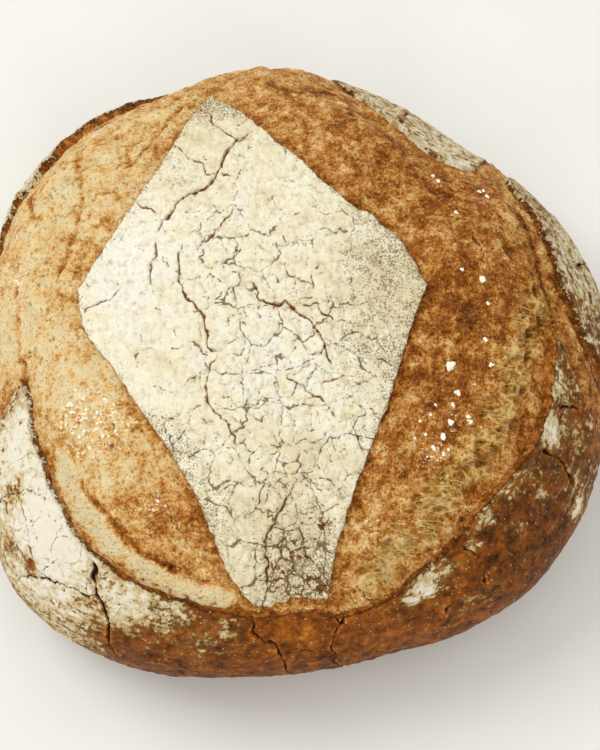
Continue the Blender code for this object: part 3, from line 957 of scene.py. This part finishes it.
# %% The burst dough's mesh
# Dabs of x, y, radius and shade: how brown each stretch baked, from pale to dark
BURST_BAKE = (
    (-90, 60, 45, 0.15), (-125, 10, 26, 0.02), (-60, 95, 26, 0.26), (-30, 125, 24, 0.38),
    (15, 110, 26, 0.5), (40, 85, 24, 0.6), (65, 60, 24, 0.66), (85, 35, 20, 0.6), (75, 5, 22, 0.75),
    (65, -35, 24, 0.68), (55, -65, 22, 0.57), (45, -90, 20, 0.49), (28, -110, 14, 0.44),
    (112, 15, 12, 0.62), (104, 70, 16, 0.5), (140, -18, 22, 0.66), (-75, -30, 24, 0.1),
    (-58, -60, 18, 0.23), (-45, -85, 16, 0.52), (-32, -105, 12, 0.4), (-95, -10, 16, 0.1),
    (2, -130, 12, 0.5), (100, 100, 16, 0.45), (-50, -62, 8, 0.36), (-62, -75, 6, 0.44), (101, 8, 12, 0.7),
)
# The same for the flour dust on it, from none to thick
BURST_DUST = (
    (-117, 30, 8, 0.8), (-110, 72, 8, 0.5), (-80, -38, 12, 0.7), (-66, -42, 14, 0.75), (-70, -50, 8, 0.6),
    (-50, -75, 8, 0.6), (-95, 95, 5, 0.4), (-84, 22, 7, 0.5), (66, -45, 14, 0.45), (5, 118, 14, 0.35),
    (60, -62, 10, 0.55), (35, -90, 8, 0.55), (-75, 10, 6, 0.35), (78, -30, 10, 0.4), (20, 105, 10, 0.5),
)


def build_burst(material):
    def keep(places):
        _, side, _, _ = edges(places)
        return side < BURST_RUN_ON

    def levels(places):
        lid, side, _, lip = edges(places)
        shows = (lid < 1.0) & (side < -0.4 * lip) & (np.hypot(*places.T) < BURST_FINE_TO)
        close = (lid < 5.0) & (side < 3.0)
        return np.where(shows, BURST_LEVEL, np.where(close, BURST_LEVEL - 1, 0))

    sheet = skin_sheet(BURST_CELL * BURST_HALF_CELLS, BURST_CELL, levels, keep)
    places = read_places(sheet)
    lid, side, lift, lip = edges(places)
    points = plain_form(places)
    relief, values = burst_relief(places, side)
    shows = ease(1.0 - np.maximum(lid, 0.0) / 2.0) * ease(1.0 - np.maximum(side, 0.0) / 3.0)
    sunk = SUNK_UNDER_LID * ease(np.maximum(lid, 0.0) / 3.0)
    sunk += SUNK_UNDER_SIDE * ease((side + 0.3 * lip) / 3.0)
    height = burst_height(lid, side, lift) + lumps(points, side) + relief * shows - sunk
    points += outward(places) * (height * MM)[:, None]
    values["bake"] = dabbed(places, 0.5, BURST_BAKE)
    values["dust"] = dabbed(places, 0.08, BURST_DUST)
    # by_lid: nearness to the lid's edge, where the finish paints the dough darker as painted shade under the
    # lid's step
    values["by_lid"] = np.exp(np.minimum(lid, 0.0) / 3.0)
    wrap(sheet, points, values)
    rim_edges = [edge for edge in sheet.edges if edge.is_boundary]
    draw_inside(sheet, rim_edges, BURST_WALL * MM, BURST_APEX)
    finish_piece(sheet, "burst_dough", material)


# %% [markdown]
# ## The burst dough's finish
# Its colour runs from the cream of bare crumb to deep brown, by how long each stretch was
# open to the heat. That bake is painted on the mesh in soft dabs and broken up by noise of
# three sizes. Shade is painted on as well: the bump's pits, low places, creases, the dough
# along the lid's edge, pores, holes and cracks go darker as painted shade, and flake folds
# and the raised lips beside cracks go lighter as painted highlights. The deeper browns have
# a little gloss.

# %% Baked crumb
def baked_crumb():
    recipe = Recipe("baked_crumb")
    broad = recipe.uneven(7.0, 4.0, 0.6)
    middle = recipe.uneven(2.6, 4.0, 0.7)
    grain = recipe.uneven(1.0, 4.0, 0.75)
    # Thin folds of flaked dough: raised by the bump and painted lighter along the fold, as painted glints.
    flake_folds_and_glints = recipe.times(recipe.folds(3.0, 14.0, 3.0), recipe.window(recipe.noise(6.0, 2.0), 0.42, 0.62))
    comb, strip = recipe.carried("comb"), recipe.carried("strip")
    pulled = recipe.carried_place("pull_x", "pull_y", stretch=(MM, 0.55 * MM))
    pulled = recipe.warped(4.0, 1.0, pulled)
    finer_walls = recipe.times(recipe.hairlines(2.2, 0.5, pulled), 0.4)
    walls = recipe.math("MAXIMUM", recipe.hairlines(4.4, 0.6, pulled), finer_walls)
    walls = recipe.times(walls, comb)
    drawn = recipe.times(recipe.folds(1.9, 9.0, 2.0, pulled), strip)
    low = recipe.math("SUBTRACT", recipe.carried("low"), 0.4)
    # Shade sum: bake dabs, broad noise and the pale strip are the crumb's own tone. The grain and middle
    # noise also make the bump, so they are partly its own mottle and partly painted shade, darker in the
    # bump's pits and lighter on its tops. Low places, creases and the dough along the lid's edge are painted
    # darker as shade; the raised lips beside cracks are painted lighter as painted light.
    shade = recipe.summed(
        recipe.carried("bake"), (broad, 1.1), (middle, -0.75), (grain, -1.0), (flake_folds_and_glints, -0.2), (drawn, 0.3),
        (low, 0.35), (walls, -0.36), (strip, -0.6), (comb, -0.02), (recipe.carried("crease"), 0.3),
        (recipe.carried("smooth"), -0.08), (recipe.carried("by_lid"), 0.12),
        (recipe.carried("by_crack"), -0.12),
    )
    crumb = recipe.ramp(
        shade, (0.0, 255, 234, 184), (0.2, 255, 216, 146), (0.4, 226, 164, 84), (0.58, 182, 108, 28),
        (0.76, 138, 72, 6), (1.0, 80, 36, 3),
    )
    open_crumb = recipe.ramp(shade, (0.1, 244, 202, 114), (0.5, 190, 134, 40), (0.9, 112, 66, 6))
    crumb = recipe.mix(recipe.times(comb, 0.75), crumb, open_crumb)
    light = recipe.window(recipe.noise(1.2, 3.0, 0.8), 0.57, 0.64, 0.0, 0.6)
    crumb = recipe.mix(light, crumb, recipe.ramp(shade, (0.1, 255, 238, 194), (0.7, 222, 162, 84)))
    burnt = recipe.window(recipe.noise(1.6, 3.0, 0.8), 0.35, 0.43, 0.75, 0.0)
    crumb = recipe.mix(burnt, crumb, recipe.ramp(shade, (0.1, 198, 126, 54), (0.7, 88, 42, 6)))
    rare = recipe.window(recipe.noise(2.6, 1.0), 0.5, 0.56)
    tiny_pore = recipe.times(recipe.window(recipe.cells(1.9), 0.13, 0.24, 1.0, 0.0), rare)
    pocket = recipe.window(recipe.cells(2.9, pulled, voronoi_dimensions="2D"), 0.16, 0.3, 0.8, 0.0)
    pocket = recipe.times(pocket, comb, recipe.window(recipe.noise(3.5, 1.0), 0.46, 0.52))
    tiny_pore = recipe.math("MAXIMUM", tiny_pore, pocket)
    # Painted shade: pores, holes, honeycomb pockets and cracks are painted dark, as the shade inside them.
    dark = recipe.math("MAXIMUM", recipe.times(recipe.carried("pore"), 0.75), recipe.times(tiny_pore, 0.6))
    crack = recipe.summed(recipe.carried("crack"), (grain, 0.4))
    dark = recipe.math("MAXIMUM", dark, recipe.window(crack, 0.55, 0.75, 0.0, 0.9))
    shaded = recipe.ramp(shade, (0.1, 170, 112, 48), (0.5, 106, 62, 18), (0.9, 56, 28, 6))
    colour = recipe.mix(dark, crumb, shaded)
    dust = recipe.math("ADD", recipe.carried("dust"), recipe.uneven(4.0, 2.0))
    floured = recipe.above(recipe.noise(1.3, 3.0, 0.7), recipe.window(dust, 0.0, 1.0, 0.74, 0.5))
    colour = recipe.mix(recipe.times(floured, 0.95), colour, shown(255, 248, 230))
    roughness = recipe.summed(recipe.window(shade, 0.3, 0.8, 0.66, 0.34), (floured, 0.4))
    height = recipe.summed(grain, (flake_folds_and_glints, 0.3), (drawn, 0.3), (walls, 0.5), (middle, 1.1))
    normal = recipe.bump(recipe.times(height, recipe.summed(1.0, (floured, -0.85))), 1.6)
    normal = recipe.bump(recipe.times(tiny_pore, -1.0), 0.35, normal)
    return recipe.finish(colour, roughness, 0.18, recipe.bump(floured, 0.1, normal))


build_burst(baked_crumb())

# %% [markdown]
# ## The side crust
# The skin outside the cuts baked hard and dark. Its torn edge stands up as an ear: the dough
# rose under it and folded it back. It could be a thin curled sheet, but an ear is thick and
# rounded, so it is the same wrapped grid, raised towards its edge and then rolled down below
# the burst dough beside it. One piece runs all the way round and under the loaf.

# %% What is drawn on the side crust
SIDE_RISE = 0.8
EAR_FADE = 11.0
# Half width, depth and route of each crack
SIDE_CRACKS = (
    (0.35, 0.8, ((-91, -63), (-102, -62), (-113, -62), (-124, -65))),
    (0.3, 0.6, ((-104, -63), (-101, -72), (-101, -81), (-99, -91), (-92, -97))),
    (0.75, 2.0, ((-73, -88), (-75, -96), (-76, -104), (-75, -113), (-78, -120), (-82, -129), (-84, -142))),
    (0.4, 0.9, ((-76, -104), (-83, -101), (-91, -96), (-99, -94), (-113, -93), (-122, -98))),
    (0.3, 0.7, ((-100, -93), (-93, -88), (-87, -86))),
    (0.7, 2.0, ((-17, -125), (-18, -131), (-14, -137), (-9, -142), (-7, -151), (-4, -170))),
    (0.5, 1.3, ((-6, -148), (-1, -147), (7, -147), (16, -149))),
    (0.65, 1.9, ((24, -128), (19, -137), (17, -147), (20, -153), (19, -159), (29, -172))),
    (0.45, 1.1, ((9, -121), (15, -125), (19, -130), (25, -135))),
    (0.4, 0.9, ((-69, -133), (-59, -140), (-54, -143), (-48, -158))),
    (0.4, 0.9, ((-50, -146), (-40, -152), (-30, -150), (-22, -156))),
    (0.4, 0.9, ((30, -158), (42, -152), (54, -156), (66, -150))),
    (0.5, 1.2, ((108, -31), (115, -30), (125, -28), (134, -32))),
    (0.65, 1.6, ((101, -50), (108, -51), (115, -53), (122, -59), (127, -66), (124, -76))),
    (0.4, 0.9, ((69, -90), (74, -94), (81, -99), (85, -111))),
    (0.4, 0.9, ((66, -137), (71, -127), (72, -118))),
    (0.9, 2.0, ((-79, 109), (-98, 113), (-112, 128), (-120, 150))),
    (0.9, 2.0, ((48, 101), (52, 122), (64, 143), (62, 165))),
    (0.7, 1.6, ((128, 45), (140, 52), (156, 50), (172, 60))),
    (0.7, 1.6, ((-40, -150), (-32, -158), (-30, -176), (-36, -196))),
    (0.8, 1.8, ((-140, -60), (-150, -84), (-146, -104), (-156, -122))),
    (0.8, 1.8, ((60, -160), (66, -172), (62, -190), (70, -206))),
    (0.7, 1.5, ((-30, 190), (-26, 205), (-32, 222))),
    (0.8, 1.8, ((120, 130), (130, 142), (128, 160), (140, 170))),
)
# Dabs of x, y, radius and value: how much flour lies on the skin, and how brown it baked
SIDE_FLOUR = (
    (-130, 90, 70, 0.78), (0, 190, 70, 0.6), (80, 130, 50, 0.75), (130, 60, 45, 0.72), (150, -20, 30, 0.45),
    (100, -100, 45, 0.2), (120, -130, 50, 0.36), (0, -170, 60, 0.08), (50, -150, 30, 0.16),
    (-60, -170, 50, 0.25), (-100, -110, 34, 0.66), (-95, -75, 26, 1.22), (-110, -45, 16, 1.15),
    (-150, -60, 40, 0.7), (-65, -108, 12, 0.85), (-49, -116, 8, 0.7), (-108, -62, 6, 0.6),
    (-114, -80, 7, 0.55), (-103, -88, 5, 0.45), (-94, -44, 4, 0.5), (-80, -107, 5, 0.6),
    (-75, -130, 12, 0.3), (-42, -135, 9, 0.55), (-28, -128, 8, 0.6), (2, -147, 22, 0.08),
    (27, -152, 14, 0.1), (12, -132, 10, 0.2), (59, -113, 7, 0.94), (52, -119, 5, 0.78), (64, -107, 5, 0.74),
    (66, -104, 5, 0.7), (80, -80, 6, 0.72), (87, -68, 6, 0.66), (97, -58, 4, 0.6), (111, -20, 8, 0.66),
    (107, -42, 8, 0.85), (118, -44, 5, 0.45), (131, -70, 7, 0.9), (115, -60, 7, 0.4), (92, -98, 14, 0.22),
    (84, -121, 12, 0.42), (100, -96, 12, 0.36), (62, 92, 16, 0.74), (36, 114, 12, 0.7), (75, 81, 6, 0.85),
    (110, 70, 9, 0.55), (118, 35, 9, 0.67), (133, 8, 9, 0.6), (128, -36, 9, 0.5), (124, -58, 6, 0.62),
    (96, -82, 5, 0.5), (104, -68, 4, 0.55), (76, -92, 4, 0.66), (90, -108, 6, 0.46),
)
SIDE_BAKE = (
    (-100, -80, 40, 0.5), (0, -150, 45, 0.57), (70, -120, 40, 0.56), (110, -90, 35, 0.72),
    (125, -50, 30, 0.72), (130, 50, 60, 0.7), (0, 190, 80, 0.65), (-130, 90, 60, 0.6),
    (-60, -150, 40, 0.66), (8, -136, 16, 0.46), (20, -160, 16, 0.66), (150, -30, 20, 0.5),
    (45, -140, 14, 0.48),
)
# Where flour reaches over the crest of the torn edge, in millimetres
FLOURED_CRESTS = (
    (-112, 80, 12, 0.8), (66, 84, 12, 2.0), (46, 101, 12, 2.0), (82, 84, 8, 1.6), (34, 113, 8, 1.2),
)
# Height and spacing of the proving basket's rings
BASKET_RING, BASKET_SPACING = 0.16, 8.5
# How far the torn edge goes down beside the burst dough, and how much further below it
LIP_DROP, LIP_TUCK = 1.6, 1.2
SIDE_CELL = 5.25
SIDE_HALF_CELLS = 46
EDGE_SNAP = 0.36
UNDER_REACH = 6.0
SIDE_WALL, SIDE_APEX = 2.0, (0.0, 0.0, 0.034)
UNDER_WALL, UNDER_APEX = 1.0, (0.0, 0.0, 0.0)
# How far from the crown the mesh is finest at the torn lip, finest on the flanks that the photo
# shows, and fine at all
FINEST_EDGE, FINEST_FLANK, FINE_TO = 165.0, 170.0, 182.0


def lip_form(side, lip, top, floor):
    """A torn edge's section: rounded at the crest and steep down to the burst dough."""
    share = np.clip(-side / lip, 0.0, 1.0)
    return floor + (top - floor) * np.sqrt(np.maximum(1.0 - share**2, 0.0))


def side_relief(places, side):
    """Fine relief of the side crust in millimetres, and what its finish needs to know of it."""
    depth, in_crack, by_lip = cracked(places, SIDE_CRACKS, 200)
    travelled = np.hypot(*places.T)
    turns = (travelled + 2.0 * ripple(places, 30.0, 210)) / BASKET_SPACING
    rings = BASKET_RING * np.sin(2 * np.pi * turns)
    skin = 0.34 * ripple(places, 6.0, 211) + 0.22 * ripple(places, 2.6, 212) + 0.13 * ripple(places, 1.4, 213)
    # low: how low the skin lies, and by_crack the raised lips beside cracks; the finish paints the first
    # darker as painted shade and the second lighter as painted light
    low = np.clip(0.5 - 1.3 * skin, 0.0, 1.0)
    return rings * (side > 0) + skin - depth, {"crack": in_crack, "by_crack": by_lip, "low": low}


def build_side(material):
    table = TO_TABLE / MM

    def keep(places):
        _, side, _, lip = edges(places)
        return (side > -lip - 5.0) & (np.hypot(*places.T) < table + UNDER_REACH)

    def levels(places):
        _, side, _, lip = edges(places)
        travelled = np.hypot(*places.T)
        shows = (travelled < FINE_TO) & (side > -lip - 1.5)
        seen = shows & (travelled < FINEST_FLANK) & ((places[:, 1] < -25.0) | (places[:, 0] > 90.0))
        torn = (travelled < FINEST_EDGE) & (np.abs(side + 0.5 * lip) < 0.5 * lip + 1.5)
        return np.where(seen | torn, 3, np.where(shows, 2, 1))

    sheet = skin_sheet(SIDE_CELL * SIDE_HALF_CELLS, SIDE_CELL, levels, keep)
    places = snapped(read_places(sheet), EDGE_SNAP)
    lid, side, lift, lip = edges(places)
    points = plain_form(places)
    swells = lumps(points, side)
    ragged = lip * (1.0 + 0.4 * ripple(places, 6.0, 220) + 0.25 * ripple(places, 2.5, 221))
    relief, values = side_relief(places, side)
    top = SIDE_RISE + lift * np.exp(-np.maximum(side, 0.0) / EAR_FADE)
    top = top + relief + 0.25 * lift * ripple(places, 9.0, 222) * np.exp(-np.abs(side) / 4.0)
    floor = burst_height(lid, side, lift) - LIP_DROP
    height = lip_form(side, ragged, top, floor) - LIP_TUCK * ease((-side - ragged) / 2.0) + swells
    travelled = np.hypot(*places.T)
    height *= ease((table - travelled) / 12.0)
    points += outward(places) * (height * MM)[:, None]
    points[:, 2] = np.where(travelled > table, 0.0, np.maximum(points[:, 2], 0.0))
    bearing = np.arctan2(places[:, 1], places[:, 0])
    values.update({
        "flour": dabbed(places, 0.5, SIDE_FLOUR),
        "bake": dabbed(places, 0.62, SIDE_BAKE),
        "edge_gap": np.clip(side + dabbed(places, 0.0, FLOURED_CRESTS), -3.0, 3.0),
        "ring_x": RING_RADIUS * MM * np.cos(bearing),
        "ring_y": RING_RADIUS * MM * np.sin(bearing),
        "ring_z": 4.5 * MM * travelled,
        "skin_x": places[:, 0],
        "skin_y": places[:, 1],
    })
    wrap(sheet, points, values)
    rims = [edge for edge in sheet.edges if edge.is_boundary]
    on_table = [edge for edge in rims if max(vertex.co.z for vertex in edge.verts) < 1e-6]
    beside_dough = [edge for edge in rims if edge not in set(on_table)]
    draw_inside(sheet, on_table, UNDER_WALL * MM, UNDER_APEX)
    draw_inside(sheet, beside_dough, SIDE_WALL * MM, SIDE_APEX)
    finish_piece(sheet, "side_crust", material)


# %% [markdown]
# ## The side crust's finish
# Flour lies on it in streaks that follow the rings of the proving basket, so one noise is
# stretched along the rings with coordinates that the mesh carries. Where the flour has gone
# the skin is a deep reddish brown with some gloss, and the torn lip is orange brown. Shade is
# painted on as well: the bump's pits, low places and the cores of cracks go darker, a dark
# line by the torn edge's crest is partly burnt crust and partly painted shade under the ear,
# and the raised lips beside cracks go lighter as painted light.

# %% Dark crust
def dark_crust():
    recipe = Recipe("dark_crust")
    broad = recipe.uneven(8.0, 4.0, 0.65)
    middle = recipe.uneven(3.0, 4.0, 0.7)
    grain = recipe.uneven(1.0, 4.0, 0.75)
    low = recipe.math("SUBTRACT", recipe.carried("low"), 0.5)
    # Shade sum: bake dabs and broad noise are the crust's own tone. The grain and middle noise also make the
    # bump, so they are partly its own mottle and partly painted shade, darker in the bump's pits and lighter
    # on its tops. Low places are painted darker as shade, and the raised lips beside cracks lighter as
    # painted light.
    shade = recipe.summed(
        recipe.carried("bake"), (broad, 1.1), (grain, -1.1), (middle, -0.7), (low, 0.35),
        (recipe.carried("by_crack"), -0.25),
    )
    skin = recipe.ramp(
        shade, (0.0, 234, 174, 84), (0.25, 188, 110, 30), (0.5, 144, 76, 10), (0.75, 98, 50, 4),
        (1.0, 46, 22, 2),
    )
    torn = recipe.summed(recipe.carried("edge_gap"), (recipe.uneven(1.8, 4.0, 0.7), 1.8))
    lip = recipe.window(torn, -0.4, -0.1, 1.0, 0.0)
    # The torn lip's tone: its grain and middle noise are likewise partly mottle, partly painted shade in the
    # bump's pits.
    lip_shade = recipe.summed(0.5, (grain, -1.2), (broad, 1.3), (middle, -1.4))
    lip_skin = recipe.ramp(lip_shade, (0.2, 214, 146, 66), (0.5, 156, 88, 26), (0.8, 84, 40, 8))
    skin = recipe.mix(lip, skin, lip_skin)
    # A dark line just inside the torn edge's crest: partly burnt crust, partly painted shade under the lifted
    # ear.
    off_burnt_shade_line = recipe.math("ABSOLUTE", recipe.math("ADD", torn, 0.25))
    skin = recipe.mix(recipe.window(off_burnt_shade_line, 0.1, 0.5, 0.8, 0.0), skin, shown(74, 34, 10))
    rings = recipe.carried_place("ring_x", "ring_y", "ring_z", stretch=(1.0, 1.0, 1.0))
    field = recipe.times(recipe.noise(10.0, 4.0, 0.6, rings), 0.7)
    for size, weight in ((6.0, 0.55), (2.4, 0.95), (0.9, 0.45)):
        field = recipe.summed(field, (recipe.noise(size, 3.0, 0.65), weight))
    cover = recipe.summed(recipe.carried("flour"), (lip, -0.5))
    limit = recipe.window(cover, 0.0, 1.0, 1.7, 1.06)
    floured = recipe.above(field, limit)
    film = recipe.window(field, recipe.math("SUBTRACT", limit, 0.26), recipe.math("ADD", limit, 0.06))
    film = recipe.times(film, recipe.window(cover, 0.2, 0.9, 0.08, 0.5))
    colour = recipe.mix(film, skin, shown(190, 148, 80))
    thick = recipe.summed(recipe.math("SUBTRACT", cover, 1.0), (recipe.noise(3.0, 4.0, 0.7), 1.6))
    flour = recipe.ramp(thick, (0.25, 190, 158, 94), (0.5, 230, 210, 166), (0.75, 255, 249, 230))
    colour = recipe.mix(recipe.times(floured, 0.94), colour, flour)
    specks = recipe.window(recipe.cells(1.9), 0.12, 0.22, 1.0, 0.0)
    specks = recipe.times(specks, recipe.window(recipe.noise(3.0, 3.0, 0.7), 0.5, 0.56), 0.7)
    colour = recipe.mix(specks, colour, shown(240, 218, 172))
    wandering = recipe.warped(7.0, 2.4, recipe.carried_place("skin_x", "skin_y"))
    hairs = recipe.hairlines(10.0, 0.24, recipe.warped(1.7, 0.4, wandering))
    hairs = recipe.times(hairs, recipe.window(recipe.noise(5.0, 3.0), 0.5, 0.58), 0.7)
    colour = recipe.mix(hairs, colour, shown(124, 72, 32))
    crack = recipe.summed(recipe.carried("crack"), (grain, 0.4))
    colour = recipe.mix(recipe.window(crack, 0.34, 0.6, 0.0, 0.6), colour, shown(136, 78, 34))
    # The crack's core goes darker still: partly the crust that it opens, partly painted shade in the groove.
    colour = recipe.mix(recipe.window(crack, 0.56, 0.76), colour, shown(54, 26, 10))
    roughness = recipe.window(floured, 0.0, 0.6, 0.4, 0.92)
    normal = recipe.bump(recipe.summed(grain, (middle, 0.9)), 1.3)
    return recipe.finish(colour, roughness, 0.1, recipe.bump(floured, 0.3, normal))


build_side(dark_crust())

# %% [markdown]
# ## Flour clumps
# A few damp lumps of flour stuck to the burst dough. Each is a small ball, squashed and
# shaken until it is an irregular crumb, and set down on the dough where it lies.

# %% Clumps on the dough
# Each: x and y on the skin, and half its width, in millimetres
CLUMPS = (
    (67, -22, 2.3), (81, -9, 0.9), (79, 17, 1.2), (82, 7, 0.8), (83, -19, 1.0), (69, -32, 1.1),
    (67, -37, 0.9), (73, -41, 0.9), (66, -44, 1.2), (63, -50, 1.1), (59, -55, 0.9), (63, -57, 0.8),
    (65, -55, 0.7), (71, 20, 0.8), (81, 65, 1.1), (83, 66, 0.8), (70, 48, 0.9), (74, -43, 0.7),
    (64, 66, 0.9), (62, 69, 0.7), (84, 62, 0.9), (56, -50, 0.6), (58, -42, 0.6), (54, -45, 0.5),
    (60, -38, 0.5), (52, -52, 0.5), (76, -28, 0.5),
)


def surface_at(places):
    lid, side, lift, _ = edges(places)
    points = plain_form(places)
    relief, _ = burst_relief(places, side)
    height = burst_height(lid, side, lift) + lumps(points, side) + relief
    return points + outward(places) * (height * MM)[:, None]


def build_clumps(material):
    sheet = bmesh.new()
    spots = np.array(CLUMPS)
    centres, normals = surface_at(spots[:, :2]), outward(spots[:, :2])
    for number, (centre, normal, half) in enumerate(zip(centres, normals, spots[:, 2])):
        made = bmesh.ops.create_icosphere(sheet, subdivisions=3, radius=1.0)["verts"]
        turn = Vector((0, 0, 1)).rotation_difference(Vector(normal))
        for vertex in made:
            bulge = 1.0 + 0.8 * noise.noise(vertex.co * 0.9 + Vector((number * 7.0, 0, 0)))
            bulge += 0.3 * noise.noise(vertex.co * 2.3 + Vector((0, number * 5.0, 0)))
            flat = Vector((vertex.co.x, vertex.co.y, 0.55 * vertex.co.z)) * bulge * half * MM
            vertex.co = Vector(centre) + turn @ flat
    finish_piece(sheet, "flour_clumps", material)


def packed_flour():
    recipe = Recipe("packed_flour")
    cream = recipe.ramp(recipe.noise(1.0, 2.0), (0.35, 238, 228, 204), (0.65, 250, 244, 228))
    return recipe.finish(cream, 0.95, normal=recipe.bump(recipe.noise(0.5, 2.0), 0.1))


build_clumps(packed_flour())

# %% [markdown]
# ## Table, light and camera
# The loaf lies on a pale table in soft window light from the left, which fades towards the
# right. One large area light gives the soft edge of the shadow. A weak one in front stands
# for the pale wall behind the viewer, and a pale surround fills the rest.

# %% The stage
def build_table():
    flat = bmesh.new()
    bmesh.ops.create_grid(flat, x_segments=1, y_segments=1, size=2.5)
    mesh = bpy.data.meshes.new("table")
    flat.to_mesh(mesh)
    flat.free()
    recipe = Recipe("pale_table")
    pale = recipe.ramp(recipe.noise(60.0, 2.0), (0.3, 222, 221, 217), (0.7, 226, 225, 221))
    mesh.materials.append(recipe.finish(pale, 0.6))
    table = bpy.data.objects.new("table", mesh)
    bpy.context.scene.collection.objects.link(table)


def add_light(name, place, target, size, watts, colour):
    lamp = bpy.data.lights.new(name, "AREA")
    lamp.shape = "DISK"
    lamp.size = size
    lamp.energy = watts
    lamp.color = colour
    light = bpy.data.objects.new(name, lamp)
    light.location = place
    light.rotation_euler = (Vector(target) - Vector(place)).to_track_quat("-Z", "Y").to_euler()
    bpy.context.scene.collection.objects.link(light)


build_table()
add_light("window", (-1.7, 0.95, 2.3), (0.02, 0.0, 0.03), 1.9, 41.0, (1.0, 0.995, 0.98))
add_light("far_wall", (0.4, -2.3, 1.3), (0.0, -0.1, 0.03), 2.4, 16.0, (1.0, 0.995, 0.98))
world = bpy.data.worlds.new("room")
world.use_nodes = True
world.node_tree.nodes["Background"].inputs["Color"].default_value = (1.0, 0.99, 0.95, 1.0)
world.node_tree.nodes["Background"].inputs["Strength"].default_value = 0.87
bpy.context.scene.world = world
bpy.context.scene.view_settings.view_transform = "Standard"

# %% The camera
CAMERA_LIFT = math.radians(68.0)
CAMERA_DISTANCE = 0.75
LENS_MM = 86.04
LOOK_AT = Vector((FOOTPRINT_OFFSET[0] + 0.00126, FOOTPRINT_OFFSET[1], 0.045))
RAISE = 0.00042


def build_camera():
    lens = bpy.data.cameras.new("camera")
    lens.lens = LENS_MM
    lens.sensor_width = 36.0
    camera = bpy.data.objects.new("camera", lens)
    back = Vector((0.0, -math.cos(CAMERA_LIFT), math.sin(CAMERA_LIFT)))
    upwards = Vector((0.0, math.sin(CAMERA_LIFT), math.cos(CAMERA_LIFT)))
    camera.location = LOOK_AT + RAISE * upwards + CAMERA_DISTANCE * back
    camera.rotation_euler = (-back).to_track_quat("-Z", "Y").to_euler()
    bpy.context.scene.collection.objects.link(camera)
    bpy.context.scene.camera = camera


build_camera()
